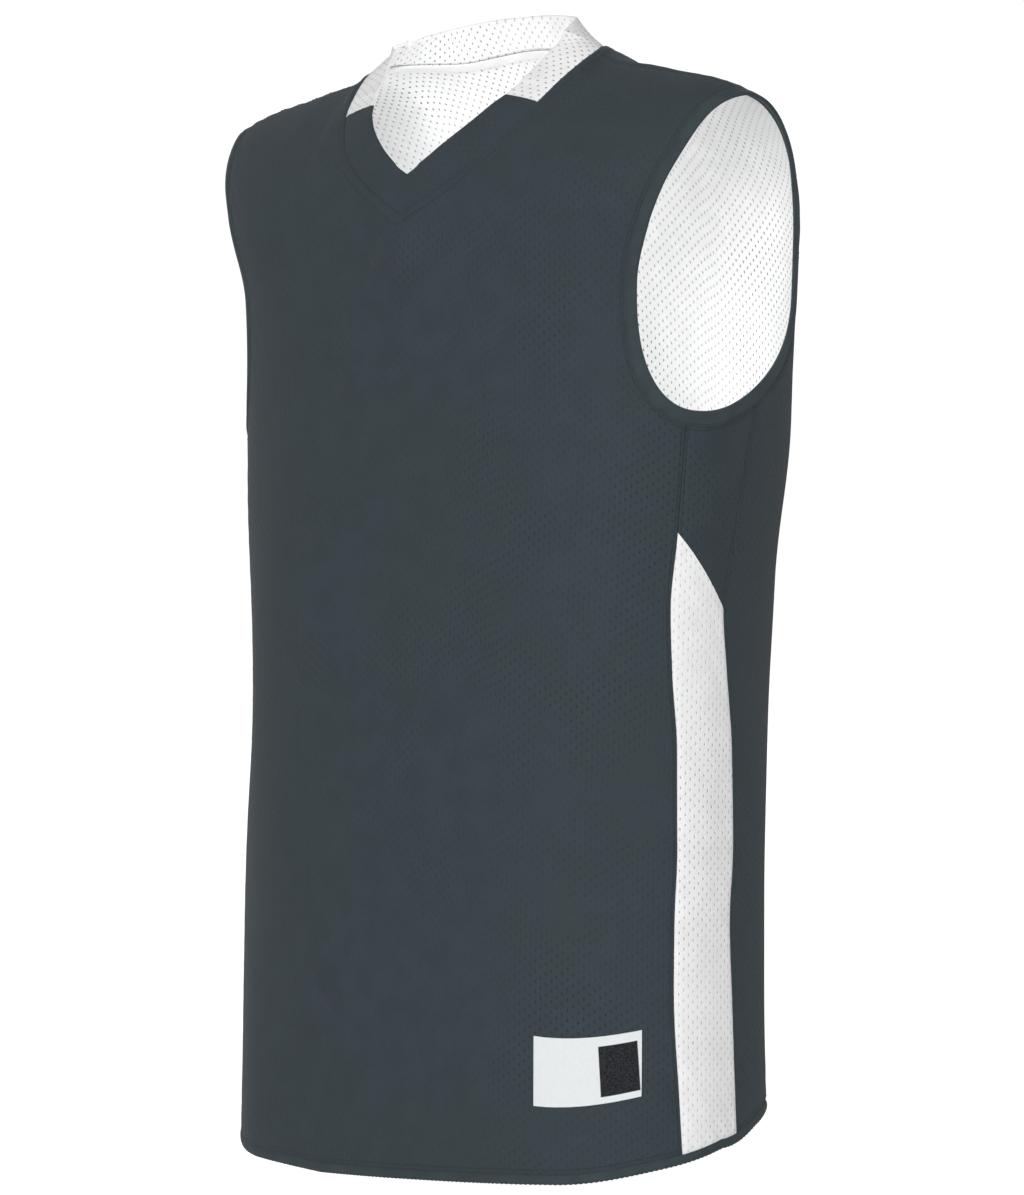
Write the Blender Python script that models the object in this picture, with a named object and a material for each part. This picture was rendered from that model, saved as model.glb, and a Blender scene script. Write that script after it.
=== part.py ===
"""Reversible two-layer basketball jersey, filled out as if worn, with no wearer.

Metres, with the wearer's left at +X, the front at -Y and +Z up. The origin lies inside the neck,
level with the two points where the line of the shoulders meets the collar.

All the cloth lies on one smooth shell. A place on the shell has a share, from -1 at the wearer's
right side line through 0 at the centre to 1 at the left side line, and a lap, the way gone from the
ridge of the shoulders, minus down the front and plus down the back. Every piece is cut from it.
"""

from collections import namedtuple
from math import pi

import bpy
import numpy as np

# Cloth
PLY = 0.0010  # one layer of mesh cloth
GAP = 0.0003  # between layers, and across a seam
LAYERS = 2 * PLY + GAP  # the dark outside and the white inside together
BAND = 0.0100  # width of an armhole band
HEM_BAND = 0.0055
BAND_PROUD = 0.0004  # a band stands out from the cloth beside it
COLLAR_THICK = 0.0020
COLLAR_GAP = 0.0004  # between the collar and the body
COLLAR_PROUD = 0.0002
LABEL_THICK = 0.0010
LABEL_PROUD = 0.0014
TAPE_THICK = 0.0010  # the tape over the back neck seam, inside
TAPE_WIDTH = 0.0060
TAPE_GAP = 0.0004

# Shoulders
NECK_HALF = 0.092  # from the centre to where the ridge is level with the origin
SHOULDER_FALL = 0.335  # drop for each metre out
RIDGE_BLEND = 0.050  # radius over which the two shoulders join behind the neck
RIDGE_HALF = 0.238  # half the ridge's width, had it no armholes
FRONT_ROLL = 0.100  # radius with which the cloth turns down off the ridge
BACK_ROLL = 0.085
SEAM_LAP_NECK = -0.0223  # the shoulder seam runs ahead of the ridge
SEAM_LAP_TIP = -0.006
TIP_SHARE = 0.72

# How many faces each stretch is divided into
SHOULDER_STEPS = 5
INSERT_STEPS = 9  # hem band to the slanting seam
YOKE_STEPS = 3  # slanting seam to underarm
ARMHOLE_STEPS = 9  # underarm to shoulder seam
SIDE_STEPS = 4  # across a side panel
COLLAR_STEPS = 3
LABEL_STEPS = (6, 3)
HALVINGS = 36  # in a search for a place
HEM_TRIES = 6  # each nearer to where a side seam meets the hem band
FINE = 240  # points with which a curve's length is measured
NUDGE = 1e-4  # share or lap over which the shell's slope is taken
ROW_NUDGE = 0.05  # rows of the neck over which the seam's direction is taken
RIM_WAY = (0.3, 0.5, 0.8)  # which diagonal splits each face of a rim

Section = namedtuple(
    "Section", "height half_width front_depth back_depth front_square back_square side_y"
)
SECTIONS = (
    Section(0.060, 0.238, 0.042, 0.080, 3.20, 3.2, 0.002),
    Section(0.000, 0.238, 0.050, 0.090, 3.30, 3.2, 0.002),
    Section(-0.050, 0.231, 0.066, 0.104, 3.40, 3.2, -0.004),
    Section(-0.100, 0.215, 0.0885, 0.118, 2.65, 3.4, -0.001),
    Section(-0.160, 0.204, 0.097, 0.127, 2.25, 3.3, 0.003),
    Section(-0.240, 0.198, 0.099, 0.129, 2.20, 3.3, 0.003),
    Section(-0.350, 0.193, 0.104, 0.125, 2.20, 3.0, 0.000),
    Section(-0.500, 0.191, 0.108, 0.120, 2.25, 2.8, 0.000),
    Section(-0.650, 0.192, 0.110, 0.118, 2.25, 2.8, 0.000),
    Section(-0.760, 0.194, 0.110, 0.118, 2.25, 2.8, 0.000),
)

# How far the ridge stands above an even fall, going out from the neck seam to the armholes
Rise = namedtuple("Rise", "x height")
RISES = (
    Rise(0.088, 0.0000),
    Rise(0.096, -0.0010),
    Rise(0.106, -0.0042),
    Rise(0.120, -0.0036),
    Rise(0.135, -0.0016),
    Rise(0.155, 0.0000),
    Rise(0.172, 0.0022),
    Rise(0.188, 0.0038),
    Rise(0.203, 0.0041),
    Rise(0.215, 0.0026),
    Rise(0.238, 0.0024),
)

# The neck seam on the wearer's left, centre front to centre back, with the collar's width there and
# how far it leans out of the line of the cloth, in degrees.
Neck = namedtuple("Neck", "x lap width lean")
NECK = (
    Neck(0.0000, -0.1871, 0.0235, -10),
    Neck(0.0248, -0.1702, 0.0250, 0),
    Neck(0.0472, -0.1496, 0.0264, 9),
    Neck(0.0675, -0.1250, 0.0267, 11),
    Neck(0.0826, -0.0947, 0.0255, 6),
    Neck(0.0892, -0.0707, 0.0258, 1),
    Neck(0.0937, -0.0467, 0.0258, 3),
    Neck(0.0949, -0.0223, 0.0256, 5),
    Neck(0.0906, -0.0005, 0.0258, 9),
    Neck(0.0777, 0.0188, 0.0264, 19),
    Neck(0.0576, 0.0350, 0.0259, 31),
    Neck(0.0301, 0.0412, 0.0252, 34),
    Neck(0.0000, 0.0424, 0.0239, 31),
)
COLOUR_CHANGE = 4  # the row where the dark collar meets the white one
COLOUR_SLANT = 0.27  # that join runs down towards the V, for each metre in from the seam
SHOULDER_POINT = 7  # the row at the shoulder seam
CENTRE_BACK = 12

# The armhole seen from the side, at its four extremes from the top forward, down and back. A wider
# loop moves each extreme out by its growth. The rounds say how full the quarter after it is, 2 being
# that of an ellipse, going by y and by z.
Extreme = namedtuple("Extreme", "y z growth round_y round_z")
ARMHOLE = (
    Extreme(-0.0035, -0.0385, 0.34, 1.90, 1.76),
    Extreme(-0.0582, -0.1235, 0.41, 2.92, 3.40),
    Extreme(-0.0200, -0.2418, 1.00, 1.60, 1.60),
    Extreme(0.0750, -0.1681, 0.90, 1.90, 1.40),
)

# The two seams of a side panel
Seam = namedtuple("Seam", "height front_y back_y")
SEAMS = (
    Seam(-0.2400, -0.0312, 0.0285),
    Seam(-0.2850, -0.0338, 0.0191),
    Seam(-0.3210, -0.0360, 0.0115),
    Seam(-0.3680, -0.0398, 0.0022),
    Seam(-0.4100, -0.0385, 0.0070),
    Seam(-0.4600, -0.0352, 0.0131),
    Seam(-0.5200, -0.0351, 0.0146),
    Seam(-0.5700, -0.0374, 0.0106),
    Seam(-0.6200, -0.0383, 0.0126),
    Seam(-0.6800, -0.0355, 0.0150),
    Seam(-0.7500, -0.0325, 0.0172),
)
YOKE_FRONT = -0.3196  # the slanting seam's two ends
YOKE_BACK = -0.3680

# Lower edge. Turn is 0 at centre front, 1 at the side line and 2 at centre back.
Hem = namedtuple("Hem", "turn height")
HEM = (
    Hem(0.00, -0.7360),
    Hem(0.45, -0.7355),
    Hem(0.75, -0.7260),
    Hem(1.00, -0.7140),
    Hem(1.12, -0.7010),
    Hem(1.25, -0.6930),
    Hem(1.60, -0.6880),
    Hem(2.00, -0.6870),
)

LIFT = 0.0110  # the hem hangs higher on the wearer's right
LIFT_START = 0.20  # share at which this begins
LIFT_TOP = -0.450  # and height

# A line down the body from where neck and shoulder meet, along which the faces are laid out: how
# far down, and how much further out.
Middle = namedtuple("Middle", "gone share")
MIDDLE = (
    Middle(0.00, 0.000),
    Middle(0.04, 0.085),
    Middle(0.10, 0.150),
    Middle(0.18, 0.185),
    Middle(0.40, 0.210),
    Middle(0.80, 0.225),
)

# Soft troughs (minus) and ridges (plus). Turn is minus on the wearer's right.
Fold = namedtuple("Fold", "turn width top bottom depth slant")
FOLDS = (
    Fold(0.00, 0.10, -0.07, -0.20, 0.0060, 0.00),
    Fold(0.66, 0.13, -0.36, -0.66, -0.0045, 0.10),
    Fold(-0.70, 0.14, -0.26, -0.58, -0.0045, -0.12),
    Fold(0.30, 0.18, -0.50, -0.82, 0.0030, -0.15),
    Fold(-0.25, 0.14, -0.56, -0.84, -0.0025, 0.10),
    Fold(-0.52, 0.12, -0.58, -0.84, 0.0025, 0.15),
    Fold(0.10, 0.30, -0.24, -0.44, -0.0025, 0.00),
    Fold(1.45, 0.15, -0.30, -0.82, -0.0050, 0.20),
    Fold(1.75, 0.14, -0.44, -0.84, 0.0040, -0.15),
    Fold(-1.40, 0.14, -0.34, -0.80, -0.0045, -0.10),
    Fold(-1.68, 0.16, -0.40, -0.84, 0.0045, 0.15),
    Fold(2.00, 0.12, -0.26, -0.62, -0.0055, 0.00),
)

# Woven label on the lower front, on the wearer's left
LABEL_X = (0.1138, 0.1715)
LABEL_MIDDLE = -0.6603  # height
LABEL_HALF_HEIGHT = 0.0217
LABEL_RISE = 0.093  # for each metre along it
LABEL_SAG = 0.0030  # how far its long edges dip in the middle
LABEL_TAPER = 0.0006  # lost from half its height at one end, gained at the other

GRAPHITE = (0.050, 0.064, 0.075, 1.0)
WHITE = (0.84, 0.84, 0.84, 1.0)
LABEL_WHITE = (0.90, 0.90, 0.89, 1.0)
CLOTH_ROUGHNESS = 0.85
LABEL_ROUGHNESS = 0.55


def column(rows, name):
    return [getattr(row, name) for row in rows]


def smooth(at, places, values):
    """A curve through the values, with no overshoot between them."""
    places, values = np.array(places, float), np.array(values, float)
    if places[0] > places[-1]:
        places, values = places[::-1], values[::-1]
    steps = np.diff(places)
    slopes = np.diff(values) / steps
    product = slopes[:-1] * slopes[1:]
    even = 2 * product / np.where(product > 0, slopes[:-1] + slopes[1:], 1)
    slope = np.concatenate([slopes[:1], np.where(product > 0, even, 0), slopes[-1:]])
    at = np.clip(at, places[0], places[-1])
    row = np.clip(np.searchsorted(places, at, side="right") - 1, 0, len(steps) - 1)
    way = (at - places[row]) / steps[row]
    rest = 1 - way
    bend = steps[row] * way * rest * (slope[row] * rest - slope[row + 1] * way)
    ends = values[row] * (1 + 2 * way) * rest**2 + values[row + 1] * (1 + 2 * rest) * way**2
    return ends + bend


def section(name, height):
    return smooth(height, column(SECTIONS, "height"), column(SECTIONS, name))


def search(test, low, high):
    """Where the test, which is minus at the low end, turns plus."""
    for _ in range(HALVINGS):
        middle = (low + high) / 2
        past = test(middle) > 0
        low, high = np.where(past, low, middle), np.where(past, middle, high)
    return (low + high) / 2


# The shell


def ridge(share):
    x = RIDGE_HALF * np.abs(np.sin(share * pi / 2))
    even = SHOULDER_FALL * (np.hypot(NECK_HALF, RIDGE_BLEND) - np.hypot(x, RIDGE_BLEND))
    return even + smooth(x, column(RISES, "x"), column(RISES, "height"))


def bare_shell(share, lap):
    roll = np.where(lap > 0, BACK_ROLL, FRONT_ROLL)
    turned = np.minimum(np.abs(lap) / roll, pi / 2)
    straight = np.maximum(np.abs(lap) - roll * pi / 2, 0)
    height = ridge(share) - roll * (1 - np.cos(turned)) - straight
    square = np.where(lap > 0, section("back_square", height), section("front_square", height))
    depth = np.where(lap > 0, section("back_depth", height), -section("front_depth", height))
    across = np.sin(share * pi / 2)
    away = np.maximum(1 - np.abs(across) ** square, 0) ** (1 / square)
    y = section("side_y", height) + depth * away * np.sin(turned)
    return np.stack([section("half_width", height) * across, y, height], -1)


def outward(share, lap):
    """The unit normal of the shell."""
    share = np.clip(share, NUDGE - 1, 1 - NUDGE)
    lap = np.where(np.abs(lap) < 2 * NUDGE, 2 * NUDGE, lap)
    across = bare_shell(share + NUDGE, lap) - bare_shell(share - NUDGE, lap)
    down = bare_shell(share, lap + NUDGE) - bare_shell(share, lap - NUDGE)
    normal = np.cross(across, down)
    return normal / np.linalg.norm(normal, axis=-1, keepdims=True)


def fold_depth(share, lap, height):
    turn = np.where(lap > 0, np.copysign(2, share) - share, share)
    depth = 0 * height
    for fold in FOLDS:
        middle = (fold.top + fold.bottom) / 2
        off = turn - fold.turn - fold.slant * (height - middle)
        off = (off + 2) % 4 - 2
        along = np.clip((fold.top - height) / (fold.top - fold.bottom), 0, 1)
        depth = depth + fold.depth * np.exp(-((off / fold.width) ** 2)) * np.sin(pi * along) ** 2
    return depth


def lift(share, height):
    """How much higher the cloth hangs on the wearer's right, most at the hem."""
    across = np.clip((-share - LIFT_START) / (1 - LIFT_START), 0, 1)
    down = np.clip((LIFT_TOP - height) / (LIFT_TOP - HEM[0].height), 0, 1)
    return LIFT * np.sin(across * pi / 2) * down**2


def shell(places, out=0.0):
    """Points of the cloth at these places (share, lap), moved out."""
    share, lap = places[..., 0], places[..., 1]
    bare = bare_shell(share, lap)
    moved = fold_depth(share, lap, bare[..., 2]) + out
    bare[..., 2] += lift(share, bare[..., 2])
    return bare + moved[..., None] * outward(share, lap)


def lap_at(share, height, face):
    """Face is -1 on the front and 1 on the back."""
    roll = np.where(face > 0, BACK_ROLL, FRONT_ROLL)
    drop = np.maximum(ridge(share) - height, 0)
    turned = roll * np.arccos(np.clip(1 - drop / roll, -1, 1))
    return face * np.where(drop < roll, turned, roll * pi / 2 + drop - roll)


def share_at(x, lap):
    return search(lambda share: bare_shell(share, lap)[..., 0] - x, 0 * x, 0 * x + 1)


def place_at(y, height):
    """The place (share, lap) on the wearer's left that is seen here from the side."""
    middle = section("side_y", height)
    face = np.where(y < middle, -1.0, 1.0)
    widest = search(lambda share: height - ridge(share), 0 * y, 0 * y + 1)

    def beyond(share):
        lap = lap_at(share, height, face)
        lap = face * np.maximum(np.abs(lap), NUDGE**2)
        return np.abs(y - middle) - np.abs(bare_shell(share, lap)[..., 1] - middle)

    share = search(beyond, 0 * y, widest)
    return np.stack([share, lap_at(share, height, face)], -1)


# Lines along which the pieces are cut, on the wearer's left


def seam_y(height, face):
    return smooth(height, column(SEAMS, "height"), column(SEAMS, "back_y" if face > 0 else "front_y"))


def neck_places(rows):
    """Places on the neck seam. A row may be a fraction."""
    x, lap = (np.interp(rows, range(len(NECK)), column(NECK, name)) for name in ("x", "lap"))
    return np.stack([share_at(x, lap), lap], -1)


def shoulder_lap(share):
    at_neck = neck_places(np.array([SHOULDER_POINT]))[0, 0]
    return np.interp(share, (at_neck, TIP_SHARE), (SEAM_LAP_NECK, SEAM_LAP_TIP))


def armhole_outline(angle, margin):
    """y and height on the armhole grown by a margin. The angle runs from the top, forward."""
    corners = [
        (e.y + sign_y * e.growth * margin, e.z + sign_z * e.growth * margin)
        for e, sign_y, sign_z in zip(ARMHOLE, (0, -1, 0, 1), (1, 0, -1, 0))
    ]
    y, z = 0 * angle, 0 * angle
    for quarter, extreme in enumerate(ARMHOLE):
        (from_y, from_z), (to_y, to_z) = corners[quarter], corners[(quarter + 1) % 4]
        inside = np.floor(angle / (pi / 2)).astype(int) % 4 == quarter
        turned = angle - quarter * pi / 2
        rise, fall = np.abs(np.sin(turned)), np.abs(np.cos(turned))
        power_y, power_z = 2 / extreme.round_y, 2 / extreme.round_z
        if quarter % 2:
            rise, fall = 1 - fall**power_y, 1 - rise**power_z
        else:
            rise, fall = rise**power_y, fall**power_z
        y = np.where(inside, from_y + (to_y - from_y) * rise, y)
        z = np.where(inside, to_z + (from_z - to_z) * fall, z)
    return y, z


def armhole_corner(face):
    """The angle at which the band's outer edge meets a side seam."""

    def past_seam(angle):
        y, z = armhole_outline(angle, BAND)
        return y - seam_y(z, face)

    low = np.array(pi / 2 if face < 0 else pi)
    return search(past_seam, low, low + pi / 2)


def armhole_tip():
    """The angle at which the band's outer edge meets the shoulder seam."""

    def ahead(angle):
        share, lap = np.moveaxis(place_at(*armhole_outline(angle, BAND)), -1, 0)
        return shoulder_lap(share) - lap

    return search(ahead, np.array(-0.5), np.array(1.0))


def armhole_angles(start, end, steps):
    """Angles that part the armhole's edge into equal lengths."""
    angles = np.linspace(start, end, FINE)
    y, z = armhole_outline(angles, BAND)
    length = np.concatenate([[0], np.cumsum(np.hypot(np.diff(y), np.diff(z)))])
    return np.interp(np.linspace(0, length[-1], steps + 1), length, angles)


def hem_height(share, face):
    turn = share if face < 0 else 2 - share
    return smooth(turn, column(HEM, "turn"), column(HEM, "height"))


def hem_corner(face):
    """Height at which a side seam meets the hem band."""
    height = np.array(HEM[0].height)
    for _ in range(HEM_TRIES):
        share = place_at(seam_y(height, face), height)[..., 0]
        height = hem_height(share, face) + HEM_BAND
    return height


def seam_heights(face):
    """Hem band, slanting seam and underarm, with the steps between them."""
    slant = YOKE_BACK if face > 0 else YOKE_FRONT
    underarm = armhole_outline(armhole_corner(face), BAND)[1]
    below = np.linspace(hem_corner(face), slant, INSERT_STEPS + 1)
    return np.concatenate([below[:-1], np.linspace(slant, underarm, YOKE_STEPS + 1)])


# Grids of places


def patch(left, right, bottom, top):
    """Fills in between four edges, all in step: left and right rise, bottom and top go across."""
    up = np.abs(left[:, 1] - left[0, 1])[:, None, None]
    up = up / up[-1]
    across = np.linspace(0, 1, len(bottom))[None, :, None]
    between_sides = left[:, None] * (1 - across) + right[:, None] * across
    between_ends = bottom[None] * (1 - up) + top[None] * up
    low = left[0] * (1 - across) + right[0] * across
    high = left[-1] * (1 - across) + right[-1] * across
    return between_sides + between_ends - low * (1 - up) - high * up


def hem_places(low, high, steps, face):
    share = np.linspace(low, high, steps + 1)
    return np.stack([share, lap_at(share, hem_height(share, face) + HEM_BAND, face)], -1)


def half_body(face, seam_gap=0.0):
    """The front or back on the wearer's left, hem band to neck and shoulder."""
    heights = seam_heights(face)
    risen = (heights - heights[0]) / (heights[-1] - heights[0])

    def rising_laps(share, low, high):
        chest = lap_at(share, heights[-1], face)
        above = np.linspace(chest, high, ARMHOLE_STEPS + 1)
        return np.concatenate([low + (chest - low) * risen, above[1:]])

    seam = place_at(seam_y(heights, face), heights)
    tip = armhole_tip()
    start, end = armhole_corner(face), tip if face < 0 else tip + 2 * pi
    armhole = place_at(*armhole_outline(armhole_angles(start, end, ARMHOLE_STEPS), BAND))
    side = np.concatenate([seam, armhole[1:]])

    centre_row = 0 if face < 0 else CENTRE_BACK
    neck = neck_places(np.arange(centre_row, SHOULDER_POINT - face, -face))
    share = np.linspace(neck[-1, 0], side[-1, 0], SHOULDER_STEPS + 1)
    shoulder = np.stack([share, shoulder_lap(share) - seam_gap], -1)
    neck[-1], side[-1] = shoulder[0], shoulder[-1]

    def middle_share(lap):
        gone = np.abs(lap - neck[-1, 1])
        return neck[-1, 0] + smooth(gone, column(MIDDLE, "gone"), column(MIDDLE, "share"))

    low_share = middle_share(seam[0, 1])
    inner_hem = hem_places(0.0, low_share, len(neck) - 1, face)
    outer_hem = hem_places(low_share, seam[0, 0], SHOULDER_STEPS, face)
    outer_hem[-1] = seam[0]
    laps = rising_laps(0.0, inner_hem[0, 1], neck[0, 1])
    centre = np.stack([0 * laps, laps], -1)
    laps = rising_laps(low_share, outer_hem[0, 1], neck[-1, 1])
    middle = np.stack([middle_share(laps), laps], -1)
    middle[0], middle[-1] = outer_hem[0], neck[-1]
    below_neck = patch(centre, middle, inner_hem, neck)
    below_shoulder = patch(middle, side, outer_hem, shoulder)
    return np.concatenate([below_neck, below_shoulder[:, 1:]], axis=1)


def side_grid(first, last, front_trim, back_trim):
    """A side panel between two of its seam rows, as y and height, drawn in from its seams."""
    rows = slice(first, last + 1)
    front, back = (
        np.stack([seam_y(heights, face), heights], -1)[rows]
        for face, heights in ((-1, seam_heights(-1)), (1, seam_heights(1)))
    )
    across = np.linspace(0, 1, SIDE_STEPS + 1)[:, None]
    bottom, top = (front[end] * (1 - across) + back[end] * across for end in (0, -1))
    if last == INSERT_STEPS + YOKE_STEPS:
        angles = armhole_angles(armhole_corner(-1), armhole_corner(1), SIDE_STEPS)
        top = np.stack(armhole_outline(angles, BAND), -1)
    grid = patch(front, back, bottom, top)
    grid[:, 0, 0] += front_trim
    grid[:, -1, 0] -= back_trim
    return grid


def yoke(front_trim=0.0, back_trim=0.0, slant_trim=0.0):
    grid = side_grid(INSERT_STEPS, INSERT_STEPS + YOKE_STEPS, front_trim, back_trim)
    grid[0, :, 1] += slant_trim
    return place_at(grid[..., 0], grid[..., 1])


def insert(front_trim=0.0, back_trim=0.0, slant_trim=0.0):
    grid = side_grid(0, INSERT_STEPS, front_trim, back_trim)
    grid[-1, :, 1] -= slant_trim
    return place_at(grid[..., 0], grid[..., 1])


def mirrored(grid):
    """The same grid on the wearer's right."""
    return grid[:, ::-1] * (-1, 1)


def whole(half):
    """A body piece from the half on the wearer's left."""
    return np.concatenate([mirrored(half), half[:, 1:]], axis=1)


def hem_ring():
    front, back = whole(half_body(-1))[0], whole(half_body(1))[0]
    side = insert()[0]
    other = mirrored(insert())[0]
    around = np.concatenate([front, side[1:], back[::-1][1:], other[1:]])
    around[-1] = around[0]
    down = np.sign(around[:, 1])[:, None] * (0, 1)
    return np.stack([around + HEM_BAND * down, around + GAP * down])


def armhole_ring():
    tip, front, back = armhole_tip(), armhole_corner(-1), armhole_corner(1)
    stretches = (
        armhole_angles(tip, front, ARMHOLE_STEPS),
        armhole_angles(front, back, SIDE_STEPS)[1:],
        armhole_angles(back, tip + 2 * pi, ARMHOLE_STEPS)[1:],
    )
    angles = np.concatenate(stretches)
    ring = np.stack([place_at(*armhole_outline(angles, margin)) for margin in (0, BAND - GAP)])
    ring[:, -1] = ring[:, 0]
    return ring


def label_grid():
    along, up = np.meshgrid(np.linspace(-1, 1, LABEL_STEPS[0] + 1), np.linspace(-1, 1, LABEL_STEPS[1] + 1))
    x = np.mean(LABEL_X) + along * (LABEL_X[1] - LABEL_X[0]) / 2
    half = LABEL_HALF_HEIGHT - LABEL_TAPER * along
    height = LABEL_MIDDLE + up * half + LABEL_RISE * (x - np.mean(LABEL_X)) - LABEL_SAG * (1 - along**2)
    share = np.arcsin(x / section("half_width", height)) * 2 / pi
    return np.stack([share, lap_at(share, height, -1)], -1)


# Solids


def material(name, colour, roughness):
    made = bpy.data.materials.new(name)
    made.use_nodes = True
    shader = made.node_tree.nodes["Principled BSDF"]
    shader.inputs["Base Color"].default_value = colour
    shader.inputs["Roughness"].default_value = roughness
    shader.inputs["Metallic"].default_value = 0.0
    made.diffuse_color = colour
    return made


def grid_faces(rows, columns):
    """Triangles of a grid, facing out of the cloth and all split the same way, as layers must be."""
    corner = np.arange(rows * columns).reshape(rows, columns)
    a, b, c, d = corner[:-1, :-1], corner[:-1, 1:], corner[1:, 1:], corner[1:, :-1]
    return np.stack([a, b, c, a, c, d], -1).reshape(-1, 3)


def rim_faces(outer, faces):
    """Triangles between the edges of two sheets. Facing rims of two pieces are split alike."""
    count = len(outer)
    edges = {(int(a), int(b)) for face in faces for a, b in zip(face, np.roll(face, -1))}
    rising = outer @ RIM_WAY
    made = []
    for a, b in sorted(edges):
        if (b, a) in edges:
            continue
        if rising[a] < rising[b]:
            made += [(b, a, b + count), (a, a + count, b + count)]
        else:
            made += [(b, a, a + count), (b, a + count, b + count)]
    return made


def solid(name, outer, inner, faces, colour, roughness=CLOTH_ROUGHNESS):
    """A closed wall between an outer and an inner sheet that share their faces."""
    back = faces[:, ::-1] + len(outer)
    corners = np.concatenate([faces, back, rim_faces(outer, faces)])
    mesh = bpy.data.meshes.new(name)
    mesh.from_pydata(np.concatenate([outer, inner]).tolist(), [], corners.tolist())
    mesh.shade_smooth()
    mesh.set_sharp_from_angle(angle=pi / 4)
    mesh.materials.append(material(name, colour, roughness))
    made = bpy.data.objects.new(name, mesh)
    bpy.context.scene.collection.objects.link(made)
    return made


def cloth(name, grids, out, thick, colour, roughness=CLOTH_ROUGHNESS):
    """A wall over one or more grids of places. Grids that share an edge are joined."""
    places, faces, start = [], [], 0
    for grid in grids:
        places.append(grid.reshape(-1, 2))
        faces.append(grid_faces(*grid.shape[:2]) + start)
        start += grid.shape[0] * grid.shape[1]
    rounded = np.round(np.concatenate(places), 6)
    _, first, same = np.unique(rounded, axis=0, return_index=True, return_inverse=True)
    places = np.concatenate(places)[first]
    faces = same.reshape(-1)[np.concatenate(faces)]
    solid(name, shell(places, out), shell(places, out - thick), faces, colour, roughness)


def collar_sheets():
    """Outer and inner points of half the collar, seam to top edge, and the seam's direction."""
    rows = np.arange(len(NECK))
    places = neck_places(rows)
    before = shell(neck_places(np.maximum(rows - ROW_NUDGE, 0)))
    along = shell(neck_places(np.minimum(rows + ROW_NUDGE, CENTRE_BACK))) - before
    along[CENTRE_BACK] *= (1, 0, 0)
    along /= np.linalg.norm(along, axis=1, keepdims=True)
    normal = outward(places[:, 0], places[:, 1])
    inward = np.cross(normal, along)
    inward[0] -= along[0] * inward[0, 0] / along[0, 0]  # the mitre at the point of the V
    inward[COLOUR_CHANGE] -= along[COLOUR_CHANGE] * COLOUR_SLANT
    lean = np.radians(column(NECK, "lean"))[:, None]
    rising = inward * np.cos(lean) + normal * np.sin(lean)
    facing = normal * np.cos(lean) - inward * np.sin(lean)
    up = np.linspace(COLLAR_GAP, column(NECK, "width"), COLLAR_STEPS + 1)[..., None]
    outer = shell(places) + up * rising + COLLAR_PROUD * facing
    return outer, outer - COLLAR_THICK * facing, along


def collar(name, sheets, colour):
    outer, inner = sheets
    faces = grid_faces(*outer.shape[:2])
    solid(name, outer.reshape(-1, 3), inner.reshape(-1, 3), faces, colour)


def make_collar():
    *sheets, along = collar_sheets()
    trim = along[COLOUR_CHANGE] * GAP / 2
    left, back = [], []
    for sheet in sheets:
        front = sheet[:, : COLOUR_CHANGE + 1].copy()
        front[:, 0, 0] = GAP / 2
        front[:, -1] -= trim
        left.append(front)
        half = sheet[:, COLOUR_CHANGE:].copy()
        half[:, 0] += trim
        back.append(np.concatenate([half, half[:, -2::-1] * (-1, 1, 1)], axis=1))
    right = [sheet[:, ::-1] * (-1, 1, 1) for sheet in left]
    collar("collar_front_left", left, GRAPHITE)
    collar("collar_front_right", right, GRAPHITE)
    collar("collar_back", back, WHITE)


def make_tape():
    """A tape inside the back, just below the neck seam, lying on the faces of the lining there."""
    steps = 2 * (CENTRE_BACK - SHOULDER_POINT)
    places = whole(half_body(1)[-2:, : steps // 2 + 1])
    inside = -(LAYERS + TAPE_GAP)
    sheets = []
    for out in (inside, inside - TAPE_THICK):
        below, seam = shell(places, out)
        start = np.concatenate([seam, seam[:-1]])
        down = np.concatenate([below, below[1:]]) - start
        along = np.gradient(seam, axis=0)
        along = np.concatenate([along, along[:-1]])
        run = np.linalg.norm(np.cross(down, along), axis=1) / np.linalg.norm(along, axis=1)
        sheets.append(np.concatenate([seam, start + down * (TAPE_WIDTH / run)[:, None]]))
    faces = []
    for a in range(steps):
        b, low, next_low, slanting = a + 1, a + steps + 1, a + steps + 2, a + 2 * steps + 2
        faces += [(a, b, next_low), (a, next_low, slanting), (a, slanting, low)]
    solid("neck_tape", *sheets, np.array(faces), WHITE)


def make_body():
    left_side = (insert(back_trim=GAP), yoke(back_trim=GAP))
    right_side = [mirrored(grid) for grid in left_side]
    front, back = whole(half_body(-1, GAP)), whole(half_body(1))[::-1]
    cloth("front_panel", [front], 0, PLY, GRAPHITE)
    cloth("back_panel", [back], 0, PLY, GRAPHITE)
    inside = -(PLY + GAP)
    cloth("lining_front", [front, *left_side, *right_side], inside, PLY, WHITE)
    cloth("lining_back", [back], inside, PLY, WHITE)


def make_sides():
    for piece, cut, colour in (("yoke", yoke, GRAPHITE), ("insert", insert, WHITE)):
        grid = cut(GAP, GAP, GAP / 2)
        cloth(f"side_{piece}_left", [grid], 0, PLY, colour)
        cloth(f"side_{piece}_right", [mirrored(grid)], 0, PLY, colour)


def make_bands():
    thick = BAND_PROUD + LAYERS
    ring = armhole_ring()[::-1]
    cloth("armhole_band_left", [ring], BAND_PROUD, thick, GRAPHITE)
    cloth("armhole_band_right", [mirrored(ring)], BAND_PROUD, thick, GRAPHITE)
    cloth("hem_band", [hem_ring()], BAND_PROUD, thick, GRAPHITE)


def make_label():
    cloth("label_patch", [label_grid()], LABEL_PROUD, LABEL_THICK, LABEL_WHITE, LABEL_ROUGHNESS)


def main():
    for old in list(bpy.data.objects):
        bpy.data.objects.remove(old)
    make_body()
    make_sides()
    make_bands()
    make_collar()
    make_tape()
    make_label()


main()
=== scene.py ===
from math import pi

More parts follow.
